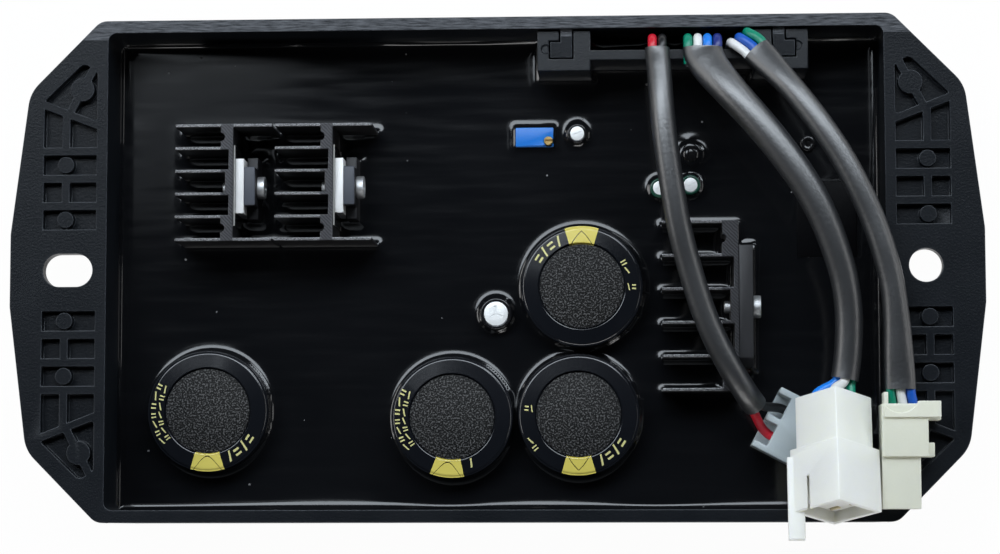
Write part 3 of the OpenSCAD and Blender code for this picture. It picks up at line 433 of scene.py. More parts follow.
end_2 = Vector((-0.2, -0.98, 0)).normalized()
end_3 = Vector((0, -1, 0))
UP = Vector((0, 0, 1))


def curve_through(points, first, last, steps=8):
    """A smooth curve through the points that leaves along first and arrives along last."""
    tangents = []
    for i, point in enumerate(points):
        if i == 0:
            tangents.append(first * (points[1] - point).length)
        elif i == len(points) - 1:
            tangents.append(last * (point - points[i - 1]).length)
        else:
            tangents.append((points[i + 1] - points[i - 1]) / 2)
    line = []
    for i in range(len(points) - 1):
        for k in range(steps):
            t = k / steps
            line.append(points[i] * (2 * t ** 3 - 3 * t ** 2 + 1) + tangents[i] * (t ** 3 - 2 * t ** 2 + t)
                        + points[i + 1] * (3 * t ** 2 - 2 * t ** 3) + tangents[i + 1] * (t ** 3 - t ** 2))
    return line + [points[-1].copy()]


def directions_of(line, first=None, last=None):
    ways = []
    for i in range(len(line)):
        a = line[max(i - 1, 0)]
        b = line[min(i + 1, len(line) - 1)]
        ways.append((b - a).normalized())
    if first is not None:
        ways[0] = first
    if last is not None:
        ways[-1] = last
    return ways


def length_of(line):
    return sum((b - a).length for a, b in zip(line, line[1:]))


def side_of(way, above=UP):
    return way.cross(above).normalized()


def up_of(way, above=UP):
    return side_of(way, above).cross(way)


routes = ((route_1, start_out, end_1), (route_2, start_out, end_2), (route_3, start_3, end_3))
print("routes, mm:", [round(length_of(curve_through(*route)), 1) for route in routes])

# %% [markdown]
# A swept tube is a row of rings with walls between them and a lid at each end. Each ring has its own half
# width and half height, so that a sleeve can start flat over a row of wires and turn round after that.

# %% Sweeping tubes
def ring_points(point, way, size, sides, above):
    side, up = side_of(way, above), up_of(way, above)
    return [point + side * (size[0] * math.cos(2 * math.pi * (k + 0.5) / sides))
            + up * (size[1] * math.sin(2 * math.pi * (k + 0.5) / sides)) for k in range(sides)]


def swept_mesh(name, tubes, sides):
    """One mesh of one or more tubes; a tube is a list of (point, way, size, above) rings in millimetres."""
    points, faces = [], []
    for tube in tubes:
        base = len(points)
        for point, way, size, above in tube:
            points += ring_points(point, way, size, sides, above)
        for i in range(len(tube) - 1):
            for k in range(sides):
                a = base + i * sides + k
                b = base + i * sides + (k + 1) % sides
                faces.append((a, b, b + sides, a + sides))
        faces.append(tuple(base + k for k in range(sides - 1, -1, -1)))
        faces.append(tuple(base + (len(tube) - 1) * sides + k for k in range(sides)))
    mesh = bpy.data.meshes.new(name)
    mesh.from_pydata([p * MM for p in points], [], faces)
    obj = bpy.data.objects.new(name, mesh)
    bpy.context.collection.objects.link(obj)
    edit(obj)
    bpy.ops.mesh.select_all(action="SELECT")
    bpy.ops.mesh.normals_make_consistent(inside=False)
    done(obj)
    return smooth(obj, 50)


SLEEVE_WALL = 0.45
HOLLOW = 5.0


def sleeve_rings(line, ways, sizes):
    """Rings of a sleeve whose two ends are hollow for a few millimetres."""
    def inner(size):
        return (size[0] - SLEEVE_WALL, size[1] - SLEEVE_WALL)
    first, last = line[0], line[-1]
    rings = [(first + ways[0] * HOLLOW, ways[0], inner(sizes[0]), UP),
             (first, ways[0], inner(sizes[0]), UP)]
    rings += [(p, w, s, UP) for p, w, s in zip(line, ways, sizes)]
    rings += [(last, ways[-1], inner(sizes[-1]), UP),
              (last - ways[-1] * HOLLOW, ways[-1], inner(sizes[-1]), UP)]
    return rings


def sleeve_sizes(count, radius, flat_start=None, flat_end=None, narrow=None, reach=24):
    """Half sizes along a sleeve: flat at an end that has a flat size, round elsewhere."""
    sizes = []
    wide = radius
    for i in range(count):
        if narrow is not None:
            t = min(1, max(0, i - reach) / (1.7 * reach))
            radius = wide + t * (narrow - wide)
        size = [radius, radius]
        for flat, away in ((flat_start, i), (flat_end, count - 1 - i)):
            if flat is not None:
                t = min(1, away / reach)
                t = t * t * (3 - 2 * t)
                if t < 1:
                    size = [flat[k] + t * (radius - flat[k]) for k in (0, 1)]
        sizes.append(tuple(size))
    return sizes


sleeve_skin = finish_of("sleeve skin", (0.004, 0.005, 0.0068), (0.008, 0.0098, 0.0125), rough=(0.36, 0.46),
                        scale=1100.0, depth=0.00006, specular=0.95, index=1.75)
print("sleeve wall, mm:", SLEEVE_WALL)

# %% [markdown]
# The two-wire and three-wire sleeves are 6 mm across, the four-wire sleeve 7.8 mm. Over a row of wires the
# soft sleeve lies flat, and it is round in between.

# %% The three sleeves
SLEEVE_SIDES = 28


def finish_piece(obj, skin, node, body="regulator"):
    """Gives the piece its finish, puts it on the body it rides on, and hides the solid it stands for."""
    obj.data.materials.clear()
    obj.data.materials.append(skin)
    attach(obj, body)
    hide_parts(node)
    return obj


def make_sleeve(name, node, route, first, last, radius, flat_start=None, flat_end=None, narrow=None):
    """A finished sleeve along a route, and the line that it follows."""
    line = curve_through(route, first, last)
    ways = directions_of(line, first, last)
    sizes = sleeve_sizes(len(line), radius, flat_start, flat_end, narrow)
    obj = swept_mesh(name, [sleeve_rings(line, ways, sizes)], SLEEVE_SIDES)
    return finish_piece(obj, sleeve_skin, node), line


sleeve_1, line_1 = make_sleeve("two_wire_sleeve", "cable_sleeve_1", route_1, start_out, end_1, 3.0)
sleeve_2, line_2 = make_sleeve("four_wire_sleeve", "cable_sleeve_2", route_2, start_out, end_2, 3.9,
                               flat_start=(4.9, 3.0), narrow=3.35)
sleeve_3, line_3 = make_sleeve("three_wire_sleeve", "cable_sleeve_3", route_3, start_3, end_3, 3.0,
                               flat_start=(3.7, 2.1), flat_end=(3.7, 2.1))
print("sleeve lengths, mm:", [round(length_of(l), 1) for l in (line_1, line_2, line_3)])

# %% [markdown]
# The wires show at both ends of each sleeve: they rise out of the resin behind the guide, bend over it and
# go in, and at the other end they run on into the back of a connector. Each wire is one piece of two short
# tubes of soft, slightly glossy plastic.

# %% How a wire runs
WIRE_SIDES = 16
WIRE_R = 1.15
WIRE_ROOT_Y = 56.3
WIRE_PITCH = 2.4
# Levels of the points on the straight part, from its foot in the resin upwards
WIRE_LEVELS = (14.0, 30.0, 35.0)
ROW_TURN = math.radians(33)
WIRE_IN = 4.2


def wire_rings(line, above):
    ways = directions_of(line)
    return [(p, w, (WIRE_R, WIRE_R), above) for p, w in zip(line, ways)]


def root_line(route, i, count):
    """From the resin up behind the guide and over it, into the start of the sleeve."""
    start = route[0]
    x = start.x + (i - (count - 1) / 2) * WIRE_PITCH
    bend = WIRE_ROOT_Y - start.y
    line = [Vector((x, WIRE_ROOT_Y, z)) for z in WIRE_LEVELS]
    for step in range(11):
        turn = math.radians(9 * step)
        line.append(Vector((x, start.y + bend * math.cos(turn), start.z - bend + bend * math.sin(turn))))
    line.append(Vector((x, start.y - WIRE_IN, start.z)))
    return line


def turned_root_line(i):
    """The three-wire cable's roots: a slanted row that leans over towards its sleeve."""
    across = i - 1
    row = Vector((math.cos(ROW_TURN), math.sin(ROW_TURN), 0))
    place = Vector((GUIDE_X + 16.3, WIRE_ROOT_Y, 0)) + row * (across * WIRE_PITCH)
    bend = Vector((place.x, place.y, RIM - 0.8))
    to = route_3[0] - side_of(start_3) * (across * WIRE_PITCH)
    lean = Vector((0.3, -0.3, 1)).normalized()
    through = curve_through([bend, bend + lean * 1.9, to - start_3 * 2, to], UP, start_3, 6)
    foot = [Vector((place.x, place.y, z)) for z in WIRE_LEVELS[:2]]
    return foot + through + [to + start_3 * WIRE_IN]


def tail_line(route, last, across, up, to, heading):
    """From inside the end of a sleeve to the cell of a connector."""
    from_point = route[-1] + side_of(last) * across + up_of(last) * up
    middle = curve_through([from_point, to], last, heading, 14)
    return [from_point - last * WIRE_IN] + middle + [to + heading * 2]


print("wire across, mm:", 2 * WIRE_R)

# %% [markdown]
# The skin of a wire is the plain recipe in a strong colour, a little darker in places.

# %% Wire skins
def wire_finish(name, colour):
    dark = tuple(c * 0.86 for c in colour)
    return finish_of(name, dark, colour, rough=(0.28, 0.38), scale=1500.0, depth=0.00001)


wire_red_skin = wire_finish("red wire skin", (0.62, 0.012, 0.03))
wire_black_skin = wire_finish("black wire skin", (0.012, 0.012, 0.013))
wire_green_skin = wire_finish("green wire skin", (0.0, 0.24, 0.14))
wire_white_skin = wire_finish("white wire skin", (0.8, 0.8, 0.78))
wire_sky_skin = wire_finish("sky blue wire skin", (0.012, 0.22, 0.8))
wire_navy_skin = wire_finish("navy wire skin", (0.015, 0.03, 0.2))
wire_blue_skin = wire_finish("blue wire skin", (0.01, 0.1, 0.5))
print("wire skins made")

# %% [markdown]
# The wires of a cable start in a row behind the guide and end in the cells of its connector. The cells
# follow from where the connector lies and how it is turned: the two-way one lies at an angle in the tray,
# the four-way one stands on its edge with its mouth raised, and the three-way one lies flat.

# %% The nine wires
TWO_WAY_TURN = math.radians(-27.7)
TWO_WAY_W, TWO_WAY_POST = 16.1, 1.6
FOUR_TILT = 16
FOUR_IN, FOUR_SEAT = 26.6, 0.25
FOUR_FRONT, FOUR_CELL = 15.2, 3
BUNDLE = 1.68
THREE_CELL = 2.6


def make_wire(label, root, tail, skin):
    """A finished wire: the tube from the resin into the sleeve, and the tube out of it."""
    tubes = [wire_rings(root, Vector((1, 0, 0))), wire_rings(tail, UP)]
    return finish_piece(swept_mesh(label + "_wire", tubes, WIRE_SIDES), skin, "wire_" + label)


two_axis = Vector((math.cos(TWO_WAY_TURN), math.sin(TWO_WAY_TURN), 0))
two_side = Vector((-math.sin(TWO_WAY_TURN), math.cos(TWO_WAY_TURN), 0))
two_back = Vector((66.4, -36.1, 25.15))
two_cell = (TWO_WAY_W - 3 * TWO_WAY_POST) / 2
for i, (label, skin) in enumerate((("red", wire_red_skin), ("black", wire_black_skin))):
    side = 1 if i == 0 else -1
    cell = two_back + two_axis * 3.5 - two_side * (side * (two_cell + TWO_WAY_POST) / 2)
    tail = tail_line(route_1, end_1, side * WIRE_PITCH / 2, 0, cell, two_axis)
    make_wire(label, root_line(route_1, i, 2), tail, skin)

tilt = math.radians(FOUR_TILT)
four_axis = Vector((0, -math.cos(tilt), math.sin(tilt)))
four_up = Vector((0, math.sin(tilt), math.cos(tilt)))
four_half = FOUR_FRONT / math.sqrt(2)
four_rise = FOUR_SEAT + four_half / math.cos(tilt) - FOUR_IN * math.tan(tilt)
four_back = Vector((81.9, FOUR_IN - HALF_Y, RIM + four_rise))
four_reach = FOUR_CELL * math.sqrt(2)
for i, (label, skin, cell_at) in enumerate((
        ("green", wire_green_skin, (-1, 0)), ("white", wire_white_skin, (0, 1)),
        ("sky_blue", wire_sky_skin, (1, 0)), ("navy", wire_navy_skin, (0, -1)))):
    cell = four_back - Vector((1, 0, 0)) * (cell_at[0] * four_reach) + four_up * (cell_at[1] * four_reach)
    tail = tail_line(route_2, end_2, cell_at[0] * BUNDLE, cell_at[1] * BUNDLE, cell, four_axis)
    make_wire(label, root_line(route_2, i, 4), tail, skin)

for i, (label, skin, slot, across) in enumerate((
        ("ivory", wire_white_skin, "wire_white", 0), ("blue", wire_blue_skin, "wire_blue", 1),
        ("leaf_green", wire_green_skin, "wire_green", -1))):
    cell = Vector((98.5 + across * THREE_CELL, -35.2, RIM + 5.05))
    tail = tail_line(route_3, end_3, -across * WIRE_PITCH, 0, cell, end_3)
    make_wire(label, turned_root_line(i), tail, skin)

# %% [markdown]
# Most rigid pieces have the right form already. Real mouldings and sawn extrusions have no razor edges
# though, and it is the small round on each edge that catches the light. So a copy of the solid is cleaned
# up and its edges are rounded with the Bevel modifier, by as much as that kind of piece has.

# %% Copies of solids with rounded edges
def copied(node, name):
    """A clean copy of a solid's mesh: merged, with flat faces made whole."""
    obj = bpy.data.objects.new(name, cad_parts[node].data.copy())
    bpy.context.collection.objects.link(obj)
    obj.data.materials.clear()
    only(obj)
    bpy.ops.mesh.customdata_custom_splitnormals_clear()
    edit(obj)
    bpy.ops.mesh.select_all(action="SELECT")
    bpy.ops.mesh.remove_doubles(threshold=0.000002)
    bpy.ops.mesh.dissolve_limited(angle_limit=math.radians(2))
    return done(obj)


def rounded(obj, width, segments=2, angle=30):
    """Rounds every edge sharper than the angle by width millimetres."""
    only(obj)
    bevel = obj.modifiers.new("rounded edges", "BEVEL")
    bevel.width = width * MM
    bevel.segments = segments
    bevel.limit_method = "ANGLE"
    bevel.angle_limit = math.radians(angle)
    bevel.use_clamp_overlap = False
    bpy.ops.object.modifier_apply(modifier=bevel.name)
    return smooth(obj, 20)


def softened(node, name, skin, width, segments=2, body="regulator", angle=30):
    """A copy of a solid with its edges rounded by width millimetres."""
    return finish_piece(rounded(copied(node, name), width, segments, angle), skin, node, body)


print("rounding ready")

# %% [markdown]
# Small details are cut into a copy or joined to it with the Boolean modifier. The other shape is made from
# a block or a standing cylinder, and it is used up.

# %% Blocks, cylinders and cuts
def combine(obj, other, operation):
    """Joins another object to obj or cuts it away, with the Boolean modifier."""
    only(obj)
    boolean = obj.modifiers.new("combine", "BOOLEAN")
    boolean.operation = operation
    boolean.solver = "EXACT"
    boolean.object = other
    bpy.ops.object.modifier_apply(modifier=boolean.name)
    bpy.data.objects.remove(other)
    return obj


def add_block(name, low, high):
    """A block between two corners, in millimetres."""
    bpy.ops.object.select_all(action="DESELECT")
    middle = [(a + b) / 2 * MM for a, b in zip(low, high)]
    bpy.ops.mesh.primitive_cube_add(size=1, location=middle)
    obj = bpy.context.active_object
    obj.name = name
    obj.scale = [(b - a) * MM for a, b in zip(low, high)]
    return at_origin(obj)


def add_cylinder(name, at, radius, low, high, sides=96):
    """A standing cylinder between two levels, in millimetres."""
    bpy.ops.object.select_all(action="DESELECT")
    bpy.ops.mesh.primitive_cylinder_add(vertices=sides, radius=radius * MM, depth=(high - low) * MM,
                                        location=(at[0] * MM, at[1] * MM, (low + high) / 2 * MM))
    obj = bpy.context.active_object
    obj.name = name
    return at_origin(obj)


print("cuts ready")

# %% [markdown]
# The tray is one moulding and only needs its edges rounded. The guide bar also has a small round mark at
# each end, a shallow pit that the moulding tool left.

# %% Tray and guide
tray = softened("housing", "tray", tray_plastic, 0.2)
guide = copied("cable_guide", "guide_bar")
for mark in ((12.9, 54.0), (74.6, 54.4)):
    combine(guide, add_cylinder("mark", mark, 1.1, 36.3, 37.5, 32), "DIFFERENCE")
finish_piece(rounded(guide, 0.25), guide_plastic, "cable_guide")
print("tray faces:", len(tray.data.polygons))

# %% [markdown]
# The heat sinks are sawn from a black anodised extrusion. The sides are black, and the sawn ends at the top
# show grey metal with slanting saw marks, so the finish mixes the two by the direction of the surface. The
# thin tops of the fins
# are mottled pale: partly bare metal, partly painted highlight.

# %% Heat sinks
# The mounting face along X and the thickness of the wall behind it, in millimetres
SINKS = {"left": (-64.3, 3.1), "middle": (-39.6, 3.1), "right": (59.9, 4.0)}


def sawn_black(name, face, wall):
    """Black sides and sawn ends; the wall lies between face - wall and face along X, in millimetres."""
    material, tree, shader = start_material(name)
    place = tree.nodes.new("ShaderNodeTexCoord")
    facing = tree.nodes.new("ShaderNodeSeparateXYZ")
    tree.links.new(place.outputs["Normal"], facing.inputs[0])
    sawn = math_node(tree, "GREATER_THAN", facing.outputs[2], 0.5)
    where = tree.nodes.new("ShaderNodeSeparateXYZ")
    tree.links.new(place.outputs["Object"], where.inputs[0])
    in_wall = between(tree, where.outputs[0], (face - wall) * MM, face * MM)
    marks = tree.nodes.new("ShaderNodeTexWave")
    marks.bands_direction = "DIAGONAL"
    marks.inputs["Scale"].default_value = 700
    marks.inputs["Distortion"].default_value = 3
    marks.inputs["Detail"].default_value = 3
    tree.links.new(place.outputs["Object"], marks.inputs["Vector"])
    grain = place_group(tree, grain_group, Scale=4200.0)
    block = blend_colour(tree, marks.outputs["Fac"], (0.022, 0.022, 0.025), (0.07, 0.07, 0.076))
    # Fin tops: dark metal mottled with pale spots, partly bare sawn metal and partly painted highlight.
    mottle_with_painted_glints = math_node(tree, "POWER", spread(tree, grain.outputs["Height"], 0.0, 1.6), 4.0, clamp=True)
    edge = blend_colour(tree, mottle_with_painted_glints, (0.012, 0.012, 0.013), (0.34, 0.34, 0.35))
    metal = blend_colour(tree, in_wall, edge, block)
    black = blend_colour(tree, grain.outputs["Shade"], (0.008, 0.008, 0.009), (0.018, 0.018, 0.02))
    tree.links.new(blend_colour(tree, sawn, black, metal), shader.inputs["Base Color"])
    tree.links.new(spread(tree, grain.outputs["Shade"], 0.3, 0.45), shader.inputs["Roughness"])
    tree.links.new(math_node(tree, "MULTIPLY", sawn, 0.5), shader.inputs["Metallic"])
    add_bump(tree, shader, marks.outputs["Fac"], 0.00002, 0.6)
    return material


sinks = []
for side, (face, wall) in SINKS.items():
    sink_skin = sawn_black(f"sawn extrusion {side}", face, wall)
    sinks.append(softened("heat_sink_" + side, "sink_" + side, sink_skin, 0.18))
print("heat sinks:", [s.name for s in sinks])

# %% [markdown]
# The power devices: a moulding on a tinned tab for each transistor, slate grey on top and darkened below as
# painted shade, and a black block for the rectifier. Each is held to its heat sink by one zinc plated
# screw. The clear insulating film behind each tab is dark, with a pale painted highlight along its top.

# %% Power devices
def by_height(name, level, below, above, rough):
    """A finish whose colour changes at a level, given in millimetres."""
    material, tree, shader = start_material(name)
    place = tree.nodes.new("ShaderNodeTexCoord")
    split = tree.nodes.new("ShaderNodeSeparateXYZ")
    tree.links.new(place.outputs["Object"], split.inputs[0])
    high = math_node(tree, "GREATER_THAN", split.outputs[2], level * MM)
    grain = place_group(tree, grain_group, Scale=5000.0)
    shade = spread(tree, grain.outputs["Shade"], 0.8, 1.2)
    tint = tree.nodes.new("ShaderNodeMix")
    tint.data_type = "RGBA"
    tint.blend_type = "MULTIPLY"
    tint.inputs[0].default_value = 1
    tree.links.new(blend_colour(tree, high, below, above), tint.inputs[6])
    tree.links.new(shade, tint.inputs[7])
    tree.links.new(tint.outputs[2], shader.inputs["Base Color"])
    gloss = spread(tree, grain.outputs["Shade"], rough - 0.06, rough + 0.06)
    tree.links.new(gloss, shader.inputs["Roughness"])
    add_bump(tree, shader, grain.outputs["Height"], 0.00002)
    return material


def dress_node(node, skin):
    """Gives a finish to a solid that is shown as it is."""
    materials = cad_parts[node].data.materials
    materials.clear()
    materials.append(skin)


# Painted shade: the transistor moulding is slate grey above 34.2 mm and darkened to near black below it.
moulding_with_painted_shade = by_height("moulding, painted shade below", 34.2, (0.01, 0.01, 0.012), (0.055, 0.062, 0.078), 0.5)
# Painted highlight: the clear film is near black below 35.2 mm and pale above it, along its top edge.
film_with_painted_glint = by_height("clear film, painted glint on top", 35.2, (0.01, 0.01, 0.011), (0.5, 0.5, 0.48), 0.25)
for side in ("left", "middle"):
    softened(f"transistor_{side}_case", f"moulding_{side}", moulding_with_painted_shade, 0.35, 3)
    softened(f"transistor_{side}_leadframe", f"tab_{side}", bright_tin, 0.12)
softened("rectifier_case", "rectifier_block", black_moulding, 0.3, 3)
softened("power_screws", "pan_head_screws", screw_zinc, 0.3, 3, angle=40)
for node, skin in (("rectifier_leads", bright_tin), ("insulating_sheet_left", film_with_painted_glint),
                   ("insulating_sheet_middle", film_with_painted_glint), ("circuit_board", board_laminate)):
    dress_node(node, skin)
print("power devices dressed")

# %% [markdown]
# A main capacitor is an aluminium can in a shrunk black film. The film folds over the shoulder and ends in
# a round hole, which leaves a rough disc bare. The sleeve is made from a cylinder: its upper edge is
# bevelled to the shoulder, and the lid is inset to the hole and pushed down.

# %% Round sleeves and discs
CAP_FOOT = 7.1
FILM_STEP = 0.06


def lid_test(high):
    return lambda middle, normal: normal.z > 0.99 and middle.z > (high - 0.02) * MM


def bevel_lid(obj, high, offset, segments):
    """Rounds the upper edge of a standing cylinder by offset millimetres."""
    edit(obj)
    pick_faces(obj, lid_test(high))
    bpy.ops.mesh.bevel(offset=offset * MM, segments=segments, profile=0.5, affect="EDGES")
    return done(obj)


def film_sleeve(name, at, radius, low, high, shoulder, hole, drop, steps=7):
    """A sleeve with a rounded shoulder and a round hole in its lid."""
    obj = bevel_lid(add_cylinder(name, at, radius, low, high), high, shoulder, steps)
    edit(obj)
    pick_faces(obj, lid_test(high))
    bpy.ops.mesh.inset(thickness=FILM_STEP * MM)
    bpy.ops.mesh.inset(thickness=(radius - shoulder - hole / 2 - FILM_STEP) * MM)
    bpy.ops.mesh.inset(thickness=2 * FILM_STEP * MM, depth=-FILM_STEP * MM)
    bpy.ops.mesh.extrude_region_move(TRANSFORM_OT_translate={"value": (0, 0, -drop * MM)})
    done(obj)
    return smooth(obj, 35)


print("capacitor foot, mm:", CAP_FOOT)

# %% [markdown]
# The film carries a yellow field with a thin black pointer, and blocks of pale strokes and dashes beside
# it. Angle and radius round the capacitor's axis say where each mark lies.

# %% Printed film
# Half the field's angle in degrees; its lower end and half its pointer's width in millimetres
FIELD_TURN, FIELD_FOOT, POINTER_HALF = 16.5, 24.4, 0.13


def union(tree, masks):
    total = masks[0]
    for mask in masks[1:]:
        total = math_node(tree, "MAXIMUM", total, mask)
    return total


def signs(tree, along, up):
    """Slanting strokes and pairs of dashes by turns: each whole step along or up is the place of one."""
    across = math_node(tree, "FRACT", along)
    high = math_node(tree, "FRACT", up)
    lean = math_node(tree, "SUBTRACT", across, spread(tree, high, 0.68, 0.3))
    slant = math_node(tree, "MULTIPLY", between(tree, lean, -0.11, 0.11), between(tree, high, 0.06, 0.9))
    lines = math_node(tree, "ADD", between(tree, high, 0.22, 0.38), between(tree, high, 0.6, 0.76))
    dashes = math_node(tree, "MULTIPLY", lines, between(tree, across, 0.12, 0.86))
    step = math_node(tree, "ADD", math_node(tree, "FLOOR", along), math_node(tree, "FLOOR", up))
    half_step = math_node(tree, "FRACT", math_node(tree, "MULTIPLY", step, 0.5))
    odd = math_node(tree, "GREATER_THAN", half_step, 0.25)
    return math_node(tree, "ADD", math_node(tree, "MULTIPLY", odd, dashes),
                     math_node(tree, "MULTIPLY", math_node(tree, "SUBTRACT", 1.0, odd), slant))


def printed_block(tree, angle, radius, low_turn, high_turn, lines, low_r, high_r, columns, outward):
    """A block of signs between two angles in degrees and two radii in millimetres."""
    turn = math_node(tree, "SUBTRACT", angle, low_turn)
    turn = math_node(tree, "DIVIDE", turn, (high_turn - low_turn) / lines)
    out = math_node(tree, "SUBTRACT", radius, low_r)
    out = math_node(tree, "DIVIDE", out, (high_r - low_r) / columns)
    inside = math_node(tree, "MULTIPLY", between(tree, angle, low_turn, high_turn),
                       between(tree, radius, low_r, high_r))
    sign = signs(tree, out, turn) if outward else signs(tree, turn, out)
    return math_node(tree, "MULTIPLY", sign, inside)


def printed_film(name, at, patch_turn, small, large, pointed):
    """Black glossy film with a yellow field at an angle, and blocks of small and large pale marks."""
    material, tree, shader = start_material(name)
    axis = place_group(tree, axis_group, Centre_X=at[0], Centre_Y=at[1])
    grain = place_group(tree, grain_group, Scale=1200.0)
    radius, height = axis.outputs["Radius"], axis.outputs["Height"]
    turned = math_node(tree, "SUBTRACT", axis.outputs["Angle"], patch_turn)
    away = math_node(tree, "ABSOLUTE", math_node(tree, "WRAP", turned, 180.0, -180.0))
    field = math_node(tree, "MULTIPLY", math_node(tree, "LESS_THAN", away, FIELD_TURN),
                      math_node(tree, "GREATER_THAN", height, FIELD_FOOT))
    if pointed:
        edge = math_node(tree, "SUBTRACT", 13.7, math_node(tree, "MULTIPLY", away, 0.22))
    else:
        bend = math_node(tree, "MULTIPLY", math_node(tree, "MULTIPLY", away, away), 0.02)
        edge = math_node(tree, "ADD", 11.2, bend)
    off_line = math_node(tree, "ABSOLUTE", math_node(tree, "SUBTRACT", radius, edge))
    line = math_node(tree, "LESS_THAN", off_line, POINTER_HALF)
    field = math_node(tree, "MULTIPLY", field, math_node(tree, "SUBTRACT", 1.0, line))
    marks = [printed_block(tree, axis.outputs["Angle"], radius, *row, True) for row in small]
    marks += [printed_block(tree, axis.outputs["Angle"], radius, *row, False) for row in large]
    black = blend_colour(tree, grain.outputs["Shade"], (0.004, 0.005, 0.007), (0.009, 0.01, 0.013))
    pale = (0.68, 0.64, 0.28)
    yellow = blend_colour(tree, grain.outputs["Shade"], (0.66, 0.55, 0.1), (0.8, 0.69, 0.17))
    marked = blend_colour(tree, union(tree, marks), black, pale)
    tree.links.new(blend_colour(tree, field, marked, yellow), shader.inputs["Base Color"])
    tree.links.new(spread(tree, grain.outputs["Shade"], 0.12, 0.2), shader.inputs["Roughness"])
    add_bump(tree, shader, grain.outputs["Shade"], 0.00005, 0.5)
    shader.inputs["Coat Weight"].default_value = 0.3
    shader.inputs["Coat Roughness"].default_value = 0.06
    return material


print("film recipe ready")

# %% [markdown]
# Each of the four main capacitors has marks at angles of its own, and a bare sandy disc in the hole of its
# film. A row of marks is two angles, its number of lines, two radii and its number of columns.

# %% Main capacitors
MAIN_R, MAIN_TOP = 15.0, 27.1
DISC_R, DISC_LOW, DISC_TOP = 10.45, 26.6, 26.95


def rough_lid(name):
    """A bare lid with a coarse sandy surface."""
    material, tree, shader = start_material(name)
    grain = place_group(tree, grain_group, Scale=2300.0)
    sharp = math_node(tree, "MULTIPLY", math_node(tree, "SUBTRACT", grain.outputs["Height"], 0.5), 8.0,
                      clamp=True)
    sand = blend_colour(tree, sharp, (0.0006, 0.0006, 0.0006), (0.1, 0.1, 0.1))
    tree.links.new(sand, shader.inputs["Base Color"])
    tree.links.new(spread(tree, grain.outputs["Height"], 0.5, 0.75), shader.inputs["Roughness"])
    shader.inputs["Specular IOR Level"].default_value = 0.25
    add_bump(tree, shader, grain.outputs["Height"], 0.00018)
    return material


lid_skin = rough_lid("rough lid")
# Place, turn of the field, rows of small marks, rows of large marks, and whether the pointer is pointed
main_caps = [
    ((-71.7, -34.3), -90.0, [(148, 180, 3, 11.1, 14.4, 2), (-180, -142, 4, 11.1, 14.4, 2)],
     [(-68, -28, 4, 11.0, 14.2, 1)], False),
    ((-10.9, -36.0), -95.0, [(148, 180, 3, 11.1, 14.4, 2), (-180, -142, 4, 11.1, 14.4, 2)],
     [(-72, -62, 1, 11.0, 13.6, 1)], False),
    ((20.4, -35.5), -90.0, [(168, 178, 1, 11.0, 13.6, 2), (-156, -138, 2, 12.6, 14.4, 1)],
     [(-68, -28, 4, 11.0, 14.2, 1)], True),
    ((21.3, -3.7), 90.0, [(14, 34, 2, 11.0, 12.8, 1), (-6, 4, 1, 11.0, 13.6, 2)],
     [(112, 152, 4, 11.0, 14.2, 1)], True),
]
for i, (at, turn, small, large, pointed) in enumerate(main_caps, 1):
    film = printed_film(f"printed film {i}", at, turn, small, large, pointed)
    sleeve = film_sleeve(f"film_sleeve_{i}", at, MAIN_R, CAP_FOOT, MAIN_TOP,
                         shoulder=1.1, hole=21.1, drop=0.3)
    finish_piece(sleeve, film, f"capacitor_{i}_sleeve")
    disc = add_cylinder(f"bare_disc_{i}", at, DISC_R, DISC_LOW, DISC_TOP, 72)
    smooth(bevel_lid(disc, DISC_TOP, offset=0.1, segments=2), 35)
    finish_piece(disc, lid_skin, f"capacitor_{i}_disc")
    dress_node(f"capacitor_{i}_can", can_metal)
print("main capacitors:", len(main_caps))

# %% [markdown]
# The small capacitors have the same make: a film sleeve round a can. The lid of the filter capacitor is
# scored with three grooves, which let it vent, and those of the signal capacitors with two. They are cut
# with thin blocks and the Boolean modifier.

# %% Small capacitors
FILTER_R, FILTER_TOP = 4.0, 23.1
SIGNAL_R, SIGNAL_TOP = 2.5, 22.6
GROOVE_DEPTH, GROOVE_REACH = 0.18, 0.62


def scored_lid(name, at, radius, low, high, grooves, groove_w):
    """A can whose lid has grooves from its middle outwards."""
    obj = bevel_lid(add_cylinder(name, at, radius, low, high, 64), high, offset=0.15, segments=2)
    for turn in grooves:
        cutter = add_block("groove", (0, -groove_w / 2, high - GROOVE_DEPTH),
                           (radius * GROOVE_REACH, groove_w / 2, high + 1))
        cutter.rotation_euler[2] = math.radians(turn)
        cutter.location = (at[0] * MM, at[1] * MM, 0)
        combine(obj, at_origin(cutter), "DIFFERENCE")
    return smooth(obj, 30)


plain_film = finish_of("plain black film", (0.005, 0.005, 0.006), (0.011, 0.011, 0.013), rough=(0.14, 0.24),
                       scale=1500.0)
green_film = finish_of("green film", (0.008, 0.045, 0.03), (0.014, 0.075, 0.05), rough=(0.16, 0.26),
                       scale=1500.0)
filter_at = (-0.2, -10.1)
filter_sleeve = film_sleeve("filter_sleeve", filter_at, FILTER_R, CAP_FOOT, FILTER_TOP,
                            shoulder=0.45, hole=6.2, drop=0.2, steps=4)
finish_piece(filter_sleeve, plain_film, "filter_capacitor_sleeve")
filter_lid = scored_lid("filter_lid", filter_at, 3.05, 21.5, 23.05,
                        grooves=(95, 215, 335), groove_w=0.45)
finish_piece(filter_lid, can_metal, "filter_capacitor_can")
signal_caps = (((20.2, 35.1), plain_film, "black_sleeve"), ((48.4, 21.9), green_film, "green_sleeve"),
               ((40.8, 21.2), green_film, "green_sleeve"))
